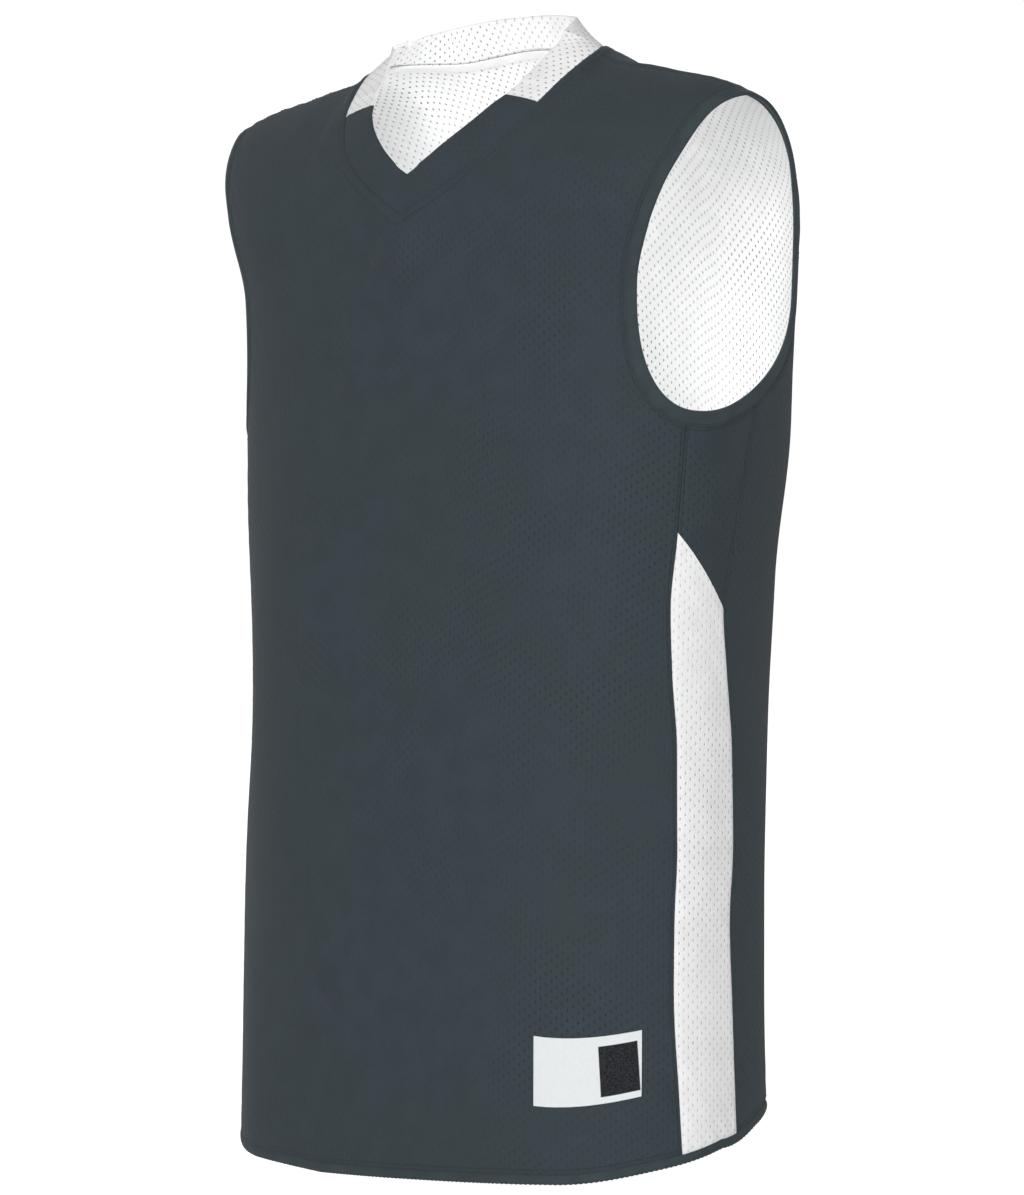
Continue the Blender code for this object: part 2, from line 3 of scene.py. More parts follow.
import bpy
import numpy as np
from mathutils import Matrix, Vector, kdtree


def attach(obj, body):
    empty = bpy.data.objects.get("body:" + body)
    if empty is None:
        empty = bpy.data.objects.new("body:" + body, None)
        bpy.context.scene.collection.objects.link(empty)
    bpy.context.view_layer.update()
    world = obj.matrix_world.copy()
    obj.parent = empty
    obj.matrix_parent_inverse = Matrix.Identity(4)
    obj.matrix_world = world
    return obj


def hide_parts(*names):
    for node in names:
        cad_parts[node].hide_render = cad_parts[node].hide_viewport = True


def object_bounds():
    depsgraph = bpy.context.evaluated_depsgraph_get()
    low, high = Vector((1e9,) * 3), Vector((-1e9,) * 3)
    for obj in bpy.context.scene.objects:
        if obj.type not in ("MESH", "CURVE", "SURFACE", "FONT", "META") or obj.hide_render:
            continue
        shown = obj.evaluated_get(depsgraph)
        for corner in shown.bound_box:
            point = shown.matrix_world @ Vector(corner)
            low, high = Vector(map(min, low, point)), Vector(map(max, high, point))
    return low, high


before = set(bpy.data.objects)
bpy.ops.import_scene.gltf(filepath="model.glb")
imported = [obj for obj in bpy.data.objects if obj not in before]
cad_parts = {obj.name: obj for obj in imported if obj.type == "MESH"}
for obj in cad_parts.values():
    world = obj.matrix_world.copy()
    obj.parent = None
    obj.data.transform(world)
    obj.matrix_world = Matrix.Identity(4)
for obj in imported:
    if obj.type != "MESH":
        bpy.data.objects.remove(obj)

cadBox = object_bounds()
scene = bpy.context.scene
scene.view_settings.view_transform = "Standard"
fineNudge = 1e-4


def table(names, *rows):
    return {name: np.array(values, float) for name, values in zip(names.split(), zip(*rows))}


def unit(vectors):
    return vectors / np.linalg.norm(vectors, axis=-1, keepdims=True)


def lengthAlong(line):
    return np.concatenate([[0], np.cumsum(np.linalg.norm(np.diff(line, axis=0), axis=1))])


def bell(off, width):
    return np.exp(-((off / width) ** 2))


# The form that all the cloth lies on. A place on it has a share, from -1 at the wearer's right side
# line to 1 at the left one, and a lap, the way gone from the ridge of the shoulders: minus down the
# front, plus down the back.

form = {
    "neckHalf": 0.092,
    "shoulderFall": 0.335,
    "ridgeBlend": 0.050,
    "ridgeHalf": 0.238,
    "frontRoll": 0.100,
    "backRoll": 0.085,
    "lift": 0.0110,  # the hem hangs higher on the wearer's right
    "liftStart": 0.20,
    "liftTop": -0.450,
    "ply": 0.0010,
    "gap": 0.0003,
    "bandWidth": 0.0100,
    "hemBand": 0.0055,
    "rises": table(  # of the ridge above an even fall, going out to the armholes
        "x height",
        (0.088, 0), (0.096, -0.001), (0.106, -0.0042), (0.12, -0.0036),
        (0.135, -0.0016), (0.155, 0), (0.172, 0.0022), (0.188, 0.0038),
        (0.203, 0.0041), (0.215, 0.0026), (0.238, 0.0024),
    ),
    "sections": table(
        "height halfWidth frontDepth backDepth frontSquare backSquare sideY",
        (0.06, 0.238, 0.042, 0.08, 3.2, 3.2, 0.002),
        (0, 0.238, 0.05, 0.09, 3.3, 3.2, 0.002),
        (-0.05, 0.231, 0.066, 0.104, 3.4, 3.2, -0.004),
        (-0.1, 0.215, 0.0885, 0.118, 2.65, 3.4, -0.001),
        (-0.16, 0.204, 0.097, 0.127, 2.25, 3.3, 0.003),
        (-0.24, 0.198, 0.099, 0.129, 2.2, 3.3, 0.003),
        (-0.35, 0.193, 0.104, 0.125, 2.2, 3, 0),
        (-0.5, 0.191, 0.108, 0.12, 2.25, 2.8, 0),
        (-0.65, 0.192, 0.11, 0.118, 2.25, 2.8, 0),
        (-0.76, 0.194, 0.11, 0.118, 2.25, 2.8, 0),
    ),
    "folds": table(  # soft troughs, minus, and ridges, plus
        "turn width top bottom depth slant",
        (0, 0.1, -0.07, -0.2, 0.006, 0),
        (0.66, 0.13, -0.36, -0.66, -0.0045, 0.1),
        (-0.7, 0.14, -0.26, -0.58, -0.0045, -0.12),
        (0.3, 0.18, -0.5, -0.82, 0.003, -0.15),
        (-0.25, 0.14, -0.56, -0.84, -0.0025, 0.1),
        (-0.52, 0.12, -0.58, -0.84, 0.0025, 0.15),
        (0.1, 0.3, -0.24, -0.44, -0.0025, 0),
        (1.45, 0.15, -0.3, -0.82, -0.005, 0.2),
        (1.75, 0.14, -0.44, -0.84, 0.004, -0.15),
        (-1.4, 0.14, -0.34, -0.8, -0.0045, -0.1),
        (-1.68, 0.16, -0.4, -0.84, 0.0045, 0.15),
        (2, 0.12, -0.26, -0.62, -0.0055, 0),
    ),
}


def curve(values, slope, row, way, step=1):
    rest = 1 - way
    bend = step * way * rest * (slope[row] * rest - slope[row + 1] * way)
    return values[row] * (1 + 2 * way) * rest**2 + values[row + 1] * (1 + 2 * rest) * way**2 + bend


def smooth(at, places, values):  # a curve through the values that doesn't overshoot
    if places[0] > places[-1]:
        places, values = places[::-1], values[::-1]
    steps = np.diff(places)
    slopes = np.diff(values) / steps
    product = slopes[:-1] * slopes[1:]
    even = 2 * product / np.where(product > 0, slopes[:-1] + slopes[1:], 1)
    slope = np.concatenate([slopes[:1], np.where(product > 0, even, 0), slopes[-1:]])
    at = np.clip(at, places[0], places[-1])
    row = np.clip(np.searchsorted(places, at, side="right") - 1, 0, len(steps) - 1)
    return curve(values, slope, row, (at - places[row]) / steps[row], steps[row])


def flowing(at, values):  # a rounder curve through evenly spaced values
    row = np.clip(np.floor(at).astype(int), 0, len(values) - 2)
    return curve(values, np.gradient(values), row, at - row)


def section(name, height):
    return smooth(height, form["sections"]["height"], form["sections"][name])


def search(test, low, high):
    for _ in range(36):
        middle = (low + high) / 2
        past = test(middle) > 0
        low, high = np.where(past, low, middle), np.where(past, middle, high)
    return (low + high) / 2


def ridge(share):
    blend = form["ridgeBlend"]
    x = form["ridgeHalf"] * np.abs(np.sin(share * pi / 2))
    even = form["shoulderFall"] * (np.hypot(form["neckHalf"], blend) - np.hypot(x, blend))
    return even + smooth(x, form["rises"]["x"], form["rises"]["height"])


def bareShell(share, lap):
    roll = np.where(lap > 0, form["backRoll"], form["frontRoll"])
    turned = np.minimum(np.abs(lap) / roll, pi / 2)
    straight = np.maximum(np.abs(lap) - roll * pi / 2, 0)
    height = ridge(share) - roll * (1 - np.cos(turned)) - straight
    square = np.where(lap > 0, section("backSquare", height), section("frontSquare", height))
    depth = np.where(lap > 0, section("backDepth", height), -section("frontDepth", height))
    across = np.sin(share * pi / 2)
    away = np.maximum(1 - np.abs(across) ** square, 0) ** (1 / square)
    y = section("sideY", height) + depth * away * np.sin(turned)
    return np.stack([section("halfWidth", height) * across, y, height], -1)


def outward(share, lap):
    share = np.clip(share, fineNudge - 1, 1 - fineNudge)
    lap = np.where(np.abs(lap) < 2 * fineNudge, 2 * fineNudge, lap)
    across = bareShell(share + fineNudge, lap) - bareShell(share - fineNudge, lap)
    down = bareShell(share, lap + fineNudge) - bareShell(share, lap - fineNudge)
    return unit(np.cross(across, down))


def foldDepth(share, lap, height):
    folds = form["folds"]
    turn = np.where(lap > 0, np.copysign(2, share) - share, share)
    depth = 0 * height
    for turnAt, width, top, bottom, deep, slant in zip(*folds.values()):
        off = (turn - turnAt - slant * (height - (top + bottom) / 2) + 2) % 4 - 2
        along = np.clip((top - height) / (top - bottom), 0, 1)
        depth = depth + deep * bell(off, width) * np.sin(pi * along) ** 2
    return depth


def hemLift(share, height):
    across = np.clip((-share - form["liftStart"]) / (1 - form["liftStart"]), 0, 1)
    down = np.clip((form["liftTop"] - height) / (form["liftTop"] - hem["height"][0]), 0, 1)
    return form["lift"] * np.sin(across * pi / 2) * down**2


def shell(places, out=0.0):  # points of the cloth, moved out
    share, lap = places[..., 0], places[..., 1]
    bare = bareShell(share, lap)
    moved = foldDepth(share, lap, bare[..., 2]) + out
    bare[..., 2] += hemLift(share, bare[..., 2])
    return bare + moved[..., None] * outward(share, lap)


def lapAt(share, height, face):  # face is -1 on the front and 1 on the back
    roll = np.where(face > 0, form["backRoll"], form["frontRoll"])
    drop = np.maximum(ridge(share) - height, 0)
    turned = roll * np.arccos(np.clip(1 - drop / roll, -1, 1))
    return face * np.where(drop < roll, turned, roll * pi / 2 + drop - roll)


def shareAt(x, lap):
    return search(lambda share: bareShell(share, lap)[..., 0] - x, 0 * x, 0 * x + 1)


def placeAt(y, height):  # the place on the wearer's left that is seen here from the side
    middle = section("sideY", height)
    face = np.where(y < middle, -1.0, 1.0)
    widest = search(lambda share: height - ridge(share), 0 * y, 0 * y + 1)

    def beyond(share):
        lap = lapAt(share, height, face)
        lap = face * np.maximum(np.abs(lap), fineNudge**2)
        return np.abs(y - middle) - np.abs(bareShell(share, lap)[..., 1] - middle)

    share = search(beyond, 0 * y, widest)
    return np.stack([share, lapAt(share, height, face)], -1)


# Lines along which the pieces are cut, on the wearer's left

neck = table(  # centre front to centre back: the seam, and the collar's width and lean there
    "x lap width lean",
    (0, -0.1871, 0.0235, -10),
    (0.0248, -0.1702, 0.025, 0),
    (0.0472, -0.1496, 0.0264, 9),
    (0.0675, -0.125, 0.0267, 11),
    (0.0826, -0.0947, 0.0255, 6),
    (0.0892, -0.0707, 0.0258, 1),
    (0.0937, -0.0467, 0.0258, 3),
    (0.0949, -0.0223, 0.0256, 5),
    (0.0906, -0.0005, 0.0258, 9),
    (0.0777, 0.0188, 0.0264, 19),
    (0.0576, 0.035, 0.0259, 31),
    (0.0301, 0.0412, 0.0252, 34),
    (0, 0.0424, 0.0239, 31),
)
colourChange, shoulderPoint, centreBack = 4, 7, 12  # rows of the neck

shoulder = {"lapAtNeck": -0.0223, "lapAtTip": -0.006, "tipShare": 0.72}

armhole = table(  # its extremes from the top forward, down and back
    "y z growth roundY roundZ",
    (-0.0035, -0.0385, 0.34, 1.9, 1.76),
    (-0.0582, -0.1235, 0.41, 2.92, 3.4),
    (-0.02, -0.2418, 1, 1.6, 1.6),
    (0.075, -0.1681, 0.9, 1.9, 1.4),
)

sideSeams = table(
    "height frontY backY",
    (-0.24, -0.0312, 0.0285),
    (-0.285, -0.0338, 0.0191),
    (-0.321, -0.036, 0.0115),
    (-0.368, -0.0398, 0.0022),
    (-0.41, -0.0385, 0.007),
    (-0.46, -0.0352, 0.0131),
    (-0.52, -0.0351, 0.0146),
    (-0.57, -0.0374, 0.0106),
    (-0.62, -0.0383, 0.0126),
    (-0.68, -0.0355, 0.015),
    (-0.75, -0.0325, 0.0172),
)
slantFront, slantBack = -0.3196, -0.3680

hem = table(  # turn is 0 at centre front, 1 at the side line and 2 at centre back
    "turn height",
    (0, -0.736), (0.45, -0.7355), (0.75, -0.726), (1, -0.714), (1.12, -0.701),
    (1.25, -0.693), (1.6, -0.688), (2, -0.687),
)

middleLine = table(
    "gone share",
    (0, 0), (0.04, 0.085), (0.1, 0.15), (0.18, 0.185), (0.4, 0.21), (0.8, 0.225),
)


def seamY(height, face):
    return smooth(height, sideSeams["height"], sideSeams["backY" if face > 0 else "frontY"])


def neckPlaces(rows):
    x = flowing(rows, neck["x"])
    lap = flowing(rows, neck["lap"])
    return np.stack([shareAt(x, lap), lap], -1)


def shoulderLap(share):
    atNeck = neckPlaces(np.array([float(shoulderPoint)]))[0, 0]
    ends = (shoulder["lapAtNeck"], shoulder["lapAtTip"])
    return np.interp(share, (atNeck, shoulder["tipShare"]), ends)


def armholeOutline(angle, margin):
    grown = armhole["growth"] * margin
    cornerY = armhole["y"] + grown * (0, -1, 0, 1)
    cornerZ = armhole["z"] + grown * (1, 0, -1, 0)
    y, z = 0 * angle, 0 * angle
    for quarter, (powerY, powerZ) in enumerate(zip(2 / armhole["roundY"], 2 / armhole["roundZ"])):
        following = (quarter + 1) % 4
        inside = np.floor(angle / (pi / 2)).astype(int) % 4 == quarter
        turned = angle - quarter * pi / 2
        rise, fall = np.abs(np.sin(turned)), np.abs(np.cos(turned))
        if quarter % 2:
            rise, fall = 1 - fall**powerY, 1 - rise**powerZ
        else:
            rise, fall = rise**powerY, fall**powerZ
        y = np.where(inside, cornerY[quarter] + (cornerY[following] - cornerY[quarter]) * rise, y)
        z = np.where(inside, cornerZ[following] + (cornerZ[quarter] - cornerZ[following]) * fall, z)
    return y, z


def armholeCorner(face):  # the angle at which the band's outer edge meets a side seam
    def pastSeam(angle):
        y, z = armholeOutline(angle, form["bandWidth"])
        return y - seamY(z, face)

    low = np.array(pi / 2 if face < 0 else pi)
    return search(pastSeam, low, low + pi / 2)


def armholeTip():  # and the shoulder seam
    def ahead(angle):
        share, lap = np.moveaxis(placeAt(*armholeOutline(angle, form["bandWidth"])), -1, 0)
        return shoulderLap(share) - lap

    return search(ahead, np.array(-0.5), np.array(1.0))


def armholeAngles(start, end, ways):  # ways are shares of the length, 0 to 1
    angles = np.linspace(start, end, 900)
    y, z = armholeOutline(angles, form["bandWidth"])
    length = lengthAlong(np.stack([y, z], -1))
    return np.interp(ways * length[-1], length, angles)


def hemHeight(share, face):
    return smooth(share if face < 0 else 2 - share, hem["turn"], hem["height"])


def hemCorner(face):
    height = np.array(hem["height"][0])
    for _ in range(8):
        share = placeAt(seamY(height, face), height)[..., 0]
        height = hemHeight(share, face) + form["hemBand"]
    return height


# Grids of places

mesh = {
    "insert": 76,  # faces from the hem band to the slanting seam
    "yoke": 26,
    "armhole": 72,
    "shoulder": 30,
    "neckPart": 6,  # for each row of the neck
    "side": 20,
}


def closing(steps, power):  # shares from 0 to 1, closer together towards 1
    return 1 - (1 - np.linspace(0, 1, steps + 1)) ** power


def seamHeights(face):
    slant = slantBack if face > 0 else slantFront
    underarm = armholeOutline(armholeCorner(face), form["bandWidth"])[1]
    low = hemCorner(face)
    rising = 1 - closing(mesh["insert"], 1.3)[::-1]
    below = low + (slant - low) * rising
    return np.concatenate([below[:-1], np.linspace(slant, underarm, mesh["yoke"] + 1)])


def patch(left, right, bottom, top):
    up = np.abs(left[:, 1] - left[0, 1])[:, None, None]
    up = up / up[-1]
    across = lengthAlong(bottom)
    across = (across / across[-1])[None, :, None]
    betweenSides = left[:, None] * (1 - across) + right[:, None] * across
    betweenEnds = bottom[None] * (1 - up) + top[None] * up
    low = left[0] * (1 - across) + right[0] * across
    high = left[-1] * (1 - across) + right[-1] * across
    return betweenSides + betweenEnds - low * (1 - up) - high * up


def hemPlaces(low, high, ways, face):
    share = low + (high - low) * ways
    return np.stack([share, lapAt(share, hemHeight(share, face) + form["hemBand"], face)], -1)


def halfBody(face):
    heights = seamHeights(face)
    risen = (heights - heights[0]) / (heights[-1] - heights[0])
    upWays = closing(mesh["armhole"], 1.5)
    outWays = closing(mesh["shoulder"], 1.5)

    def risingLaps(share, low, high):
        chest = lapAt(share, heights[-1], face)
        return np.concatenate([low + (chest - low) * risen, (chest + (high - chest) * upWays)[1:]])

    seam = placeAt(seamY(heights, face), heights)
    tip = armholeTip()
    start, end = armholeCorner(face), tip if face < 0 else tip + 2 * pi
    edge = placeAt(*armholeOutline(armholeAngles(start, end, upWays), form["bandWidth"]))
    side = np.concatenate([seam, edge[1:]])

    centreRow = 0 if face < 0 else centreBack
    rows = abs(shoulderPoint - centreRow) * mesh["neckPart"]
    neckEdge = neckPlaces(np.linspace(centreRow, shoulderPoint, rows + 1))
    share = neckEdge[-1, 0] + (side[-1, 0] - neckEdge[-1, 0]) * outWays
    top = np.stack([share, shoulderLap(share)], -1)
    neckEdge[-1], side[-1] = top[0], top[-1]

    def middleShare(lap):
        gone = np.abs(lap - neckEdge[-1, 1])
        return neckEdge[-1, 0] + smooth(gone, middleLine["gone"], middleLine["share"])

    lowShare = middleShare(seam[0, 1])
    innerHem = hemPlaces(0.0, lowShare, np.linspace(0, 1, rows + 1), face)
    outerHem = hemPlaces(lowShare, seam[0, 0], outWays, face)
    outerHem[-1] = seam[0]
    laps = risingLaps(0.0, innerHem[0, 1], neckEdge[0, 1])
    centre = np.stack([0 * laps, laps], -1)
    laps = risingLaps(lowShare, outerHem[0, 1], neckEdge[-1, 1])
    middle = np.stack([middleShare(laps), laps], -1)
    middle[0], middle[-1] = outerHem[0], neckEdge[-1]
    belowNeck = patch(centre, middle, innerHem, neckEdge)
    belowShoulder = patch(middle, side, outerHem, top)
    return np.concatenate([belowNeck, belowShoulder[:, 1:]], axis=1)


def sidePlaces(kind, frontTrim=0.0, backTrim=0.0, slantTrim=0.0):
    rows = slice(0, mesh["insert"] + 1) if kind == "insert" else slice(mesh["insert"], None)
    front, back = (
        np.stack([seamY(heights, face), heights], -1)[rows]
        for face, heights in ((-1, seamHeights(-1)), (1, seamHeights(1)))
    )
    ways = np.linspace(0, 1, mesh["side"] + 1)
    across = ways[:, None]
    bottom, top = (front[end] * (1 - across) + back[end] * across for end in (0, -1))
    if kind == "yoke":
        angles = armholeAngles(armholeCorner(-1), armholeCorner(1), ways)
        top = np.stack(armholeOutline(angles, form["bandWidth"]), -1)
    grid = patch(front, back, bottom, top)
    grid[:, 0, 0] += frontTrim
    grid[:, -1, 0] -= backTrim
    if kind == "yoke":
        grid[0, :, 1] += slantTrim
    else:
        grid[-1, :, 1] -= slantTrim
    return placeAt(grid[..., 0], grid[..., 1])


def mirrored(grid):
    return grid[:, ::-1] * (-1, 1)


def whole(half):
    return np.concatenate([mirrored(half), half[:, 1:]], axis=1)


# How far along and down the cloth a place is, in metres, for the pattern that follows it

lapTable = np.linspace(-0.86, 0.86, 345)
shareTable = np.linspace(0, 1, 161)
grid = bareShell(*np.meshgrid(shareTable, lapTable))
gone = np.linalg.norm(np.diff(grid, axis=1), axis=2)
acrossTable = np.concatenate([0 * gone[:, :1], np.cumsum(gone, axis=1)], axis=1)


def alongCloth(places):
    share, lap = np.abs(places[..., 0]), places[..., 1]
    row = (lap - lapTable[0]) / (lapTable[1] - lapTable[0])
    column = share * (len(shareTable) - 1)
    row0 = np.clip(np.floor(row).astype(int), 0, len(lapTable) - 2)
    column0 = np.clip(np.floor(column).astype(int), 0, len(shareTable) - 2)
    down, over = row - row0, column - column0
    upper = acrossTable[row0, column0] * (1 - over) + acrossTable[row0, column0 + 1] * over
    lower = acrossTable[row0 + 1, column0] * (1 - over) + acrossTable[row0 + 1, column0 + 1] * over
    return np.stack([np.copysign(upper * (1 - down) + lower * down, places[..., 0]), lap], -1)


def aroundSide(places):  # the same, going on past the side line with no break
    side = np.ones(places.shape[:-1])
    height = bareShell(places[..., 0], places[..., 1])[..., 2]
    ends = [np.stack([side, lapAt(side, height, face)], -1) for face in (-1, 1)]
    across, down = np.moveaxis(alongCloth(places), -1, 0)
    past = alongCloth(ends[0])[..., 0] + alongCloth(ends[1])[..., 0] - np.abs(across)
    behind = places[..., 1] > 0
    across = np.where(behind, np.copysign(past, places[..., 0]), across)
    return np.stack([across, np.where(behind, ends[0][..., 1], down)], -1)


# Walls of cloth


def gridFaces(rows, columns):
    corner = np.arange(rows * columns).reshape(rows, columns)
    quads = (corner[:-1, :-1], corner[:-1, 1:], corner[1:, 1:], corner[1:, :-1])
    return np.stack(quads, -1).reshape(-1, 4)


def openEdges(faces):
    ends = np.concatenate([faces[:, [i, (i + 1) % 4]] for i in range(4)])
    edges = {(int(a), int(b)) for a, b in ends}
    return sorted((a, b) for a, b in edges if (b, a) not in edges)


def addMesh(name, points, faces):
    made = bpy.data.meshes.new(name)
    made.from_pydata(points.tolist(), [], [tuple(map(int, face)) for face in faces])
    made.shade_smooth()
    made.set_sharp_from_angle(angle=pi / 3)
    obj = bpy.data.objects.new(name, made)
    scene.collection.objects.link(obj)
    return obj


def freeEdge(grid, row):  # marks the row of a grid whose edge is round
    free = np.zeros(grid.shape[:2])
    free[row] = 1
    return free.ravel()


def wall(name, outer, inner, faces, uv, free=None, layers=()):
    count, rimSteps = len(outer), 4
    edges = openEdges(faces)
    after, before = dict(edges), {b: a for a, b in edges}
    rim = sorted(after)
    tangent = unit(np.array([outer[after[a]] - outer[before[a]] for a in rim]))
    thick = outer[rim] - inner[rim]
    away = unit(np.cross(tangent, thick))
    middle = (outer[rim] + inner[rim]) / 2
    reach = np.linalg.norm(thick, axis=1) / 2 * (0 if free is None else free[rim])
    points, uvs = [outer, inner], [uv, uv]
    rings = {a: [a] for a in rim}
    for step in range(1, rimSteps):
        angle = pi * step / rimSteps
        points.append(middle + thick / 2 * np.cos(angle) + away * reach[:, None] * np.sin(angle))
        uvs.append(uv[rim])
        for i, a in enumerate(rim):
            rings[a].append(2 * count + (step - 1) * len(rim) + i)
    for a in rim:
        rings[a].append(a + count)
    sides = [
        (rings[b][step], rings[a][step], rings[a][step + 1], rings[b][step + 1])
        for a, b in edges
        for step in range(rimSteps)
    ]
    obj = addMesh(name, np.concatenate(points), np.concatenate([faces, faces[:, ::-1] + count, sides]))
    layer = obj.data.uv_layers.new(name="cloth")
    corners = np.empty(len(obj.data.loops), np.int64)
    obj.data.loops.foreach_get("vertex_index", corners)
    layer.data.foreach_set("uv", np.concatenate(uvs)[corners].astype(np.float32).ravel())
    for layerName, values in layers:
        attribute = obj.data.attributes.new(layerName, "FLOAT", "POINT")
        values = np.concatenate([values, values] + [values[rim]] * (rimSteps - 1))
        attribute.data.foreach_set("value", values.astype(np.float32))
    return obj


# Seams: how far a point of the cloth is from each one


def wayTo(points, line):
    tree = kdtree.KDTree(len(line))
    for i, point in enumerate(line):
        tree.insert(point, i)
    tree.balance()
    nearest = np.array([tree.find(point)[1] for point in points])
    best = np.full(len(points), 1e9)
    for step in (-1, 1):
        other = np.clip(nearest + step, 0, len(line) - 1)
        start, run = line[nearest], line[other] - line[nearest]
        length = np.maximum((run**2).sum(1), 1e-12)
        way = np.clip(((points - start) * run).sum(1) / length, 0, 1)
        best = np.minimum(best, np.linalg.norm(points - start - way[:, None] * run, axis=1))
    return best


def bothSides(places):
    return [shell(places), shell(places * (-1, 1))]


def seamLines():
    neckHalf = neckPlaces(np.linspace(0, centreBack, 500))
    angles = np.linspace(0, 2 * pi, 700)
    arm = placeAt(*armholeOutline(angles, form["bandWidth"]))
    heights = np.linspace(hem["height"][0] + 0.01, -0.235, 500)
    sides = [placeAt(seamY(heights, face), heights) for face in (-1, 1)]
    share = np.linspace(neckPlaces(np.array([float(shoulderPoint)]))[0, 0], shoulder["tipShare"], 160)
    ways = np.linspace(0, 1, 400)
    return {
        "neckWay": bothSides(neckHalf),
        "armWay": bothSides(arm),
        "sideWay": [line for side in sides for line in bothSides(side)],
        "shoulderWay": bothSides(np.stack([share, shoulderLap(share)], -1)),
        "hemWay": [line for face in (-1, 1) for line in bothSides(hemPlaces(0.0, 1.0, ways, face))],
    }


seams = seamLines()


def seamWays(points):
    return {name: np.min([wayTo(points, line) for line in lines], axis=0) for name, lines in seams.items()}


relief = {
    "rollDepth": 0.0007,  # cloth turns in at a seam
    "rollWidth": 0.0011,
    "neckRaised": 0.0007,  # the turned-in edge beside the collar
    "neckStep": 0.0064,
    "stepWidth": 0.0010,
    "puckerHeight": 0.00035,
    "puckerLength": 0.0135,
    "puckerReach": 0.012,
    "rippleHeight": 0.0006,
    "ripples": table(  # gentle unevenness of the cloth: waves for each metre, and their start
        "across down start",
        (23, 7, 0.3),
        (-14, 17, 1.7),
        (35, -11, 4),
        (9, 31, 2.6),
    ),
}


def ripple(uv):
    height = 0
    for across, down, start in zip(*relief["ripples"].values()):
        turn = 2 * pi * (across * uv[:, 0] + down * uv[:, 1]) / 3
        height = height + np.sin(turn + start + 2 * np.sin(5 * uv[:, 1]))
    return relief["rippleHeight"] * height / len(relief["ripples"]["start"])


def turnedIn(near):
    return -relief["rollDepth"] * bell(near, relief["rollWidth"])


def panelRelief(ways, uv):
    near = np.min(list(ways.values()), axis=0)
    fromStep = ways["neckWay"] - relief["neckStep"]
    step = 0.5 - 0.5 * np.tanh(fromStep / relief["stepWidth"] * 1.5)
    out = turnedIn(near) + relief["neckRaised"] * (step + 0.35 * bell(fromStep, relief["stepWidth"]))
    wave = np.sin(2 * pi * (uv[:, 0] + 0.7 * uv[:, 1]) / relief["puckerLength"] + 3 * np.sin(40 * uv[:, 1]))
    rest = np.minimum(near / relief["rollWidth"] / 2, 1)
    out = out + relief["puckerHeight"] * wave * np.exp(-near / relief["puckerReach"]) * rest
    return out + ripple(uv) * (1 - np.exp(-near / relief["puckerReach"]))


def clothWall(name, grids, out, thick, shaping, free=None, uv=None, pattern=alongCloth):
    places = np.concatenate([g.reshape(-1, 2) for g in grids])
    faces, start = [], 0
    for g in grids:
        faces.append(gridFaces(*g.shape[:2]) + start)
        start += g.shape[0] * g.shape[1]
    _, first, same = np.unique(np.round(places, 6), axis=0, return_index=True, return_inverse=True)
    places, faces = places[first], same.reshape(-1)[np.concatenate(faces)]
    free = None if free is None else free[first]
    uv = pattern(places) if uv is None else uv[first]
    ways = seamWays(shell(places))
    raised = shaping(ways, uv)
    outer, inner = shell(places, out + raised), shell(places, out - thick + raised)
    return wall(name, outer, inner, faces, uv, free, ways.items())


# Finishes


def nodeGroup(name, outputs, **inputs):  # an input with no value is a vector
    tree = bpy.data.node_groups.new(name, "ShaderNodeTree")
    for title, value in inputs.items():
        kind = "Vector" if value is None else "Float"
        socket = tree.interface.new_socket(title, in_out="INPUT", socket_type=f"NodeSocket{kind}")
        if value is not None:
            socket.default_value = value
    for title in outputs:
        tree.interface.new_socket(title, in_out="OUTPUT", socket_type="NodeSocketFloat")
    return tree, tree.nodes.new("NodeGroupInput").outputs, tree.nodes.new("NodeGroupOutput").inputs


def plug(tree, socket, value):
    if isinstance(value, bpy.types.NodeSocket):
        tree.links.new(value, socket)
    elif value is not None:
        socket.default_value = value


def maths(tree, operation, *values, kind="Math"):
    node = tree.nodes.new(f"ShaderNode{kind}")
    node.operation = operation
    for socket, value in zip(node.inputs, values):
        plug(tree, socket, value)
    return node.outputs[0]


def times(tree, first, second):
    return maths(tree, "MULTIPLY", first, second)


def vectors(tree, operation, *values):
    return maths(tree, operation, *values, kind="VectorMath")


def split(tree, vector):
    node = tree.nodes.new("ShaderNodeSeparateXYZ")
    tree.links.new(vector, node.inputs[0])
    return node.outputs


def ranged(tree, value, low, high, toLow=0.0, toHigh=1.0):
    node = tree.nodes.new("ShaderNodeMapRange")
    node.interpolation_type = "SMOOTHSTEP"
    for socket, part in zip(node.inputs, (value, low, high, toLow, toHigh)):
        plug(tree, socket, part)
    return node.outputs[0]


def noise(tree, vector, scale, detail=2.0):
    node = tree.nodes.new("ShaderNodeTexNoise")
    plug(tree, node.inputs["Vector"], vector)
    plug(tree, node.inputs["Scale"], scale)
    plug(tree, node.inputs["Detail"], detail)
    return node


def mixed(tree, share, first, second):
    node = tree.nodes.new("ShaderNodeMix")
    node.data_type = "RGBA"
    for name, value in (("Factor_Float", share), ("A_Color", first), ("B_Color", second)):
        socket = next(s for s in node.inputs if s.identifier == name)
        plug(tree, socket, (*value, 1) if isinstance(value, tuple) else value)
    return next(s for s in node.outputs if s.identifier == "Result_Color")


def placed(tree, group, **values):
    node = tree.nodes.new("ShaderNodeGroup")
    node.node_tree = group
    for title, value in values.items():
        plug(tree, node.inputs[title], value)
    return node.outputs


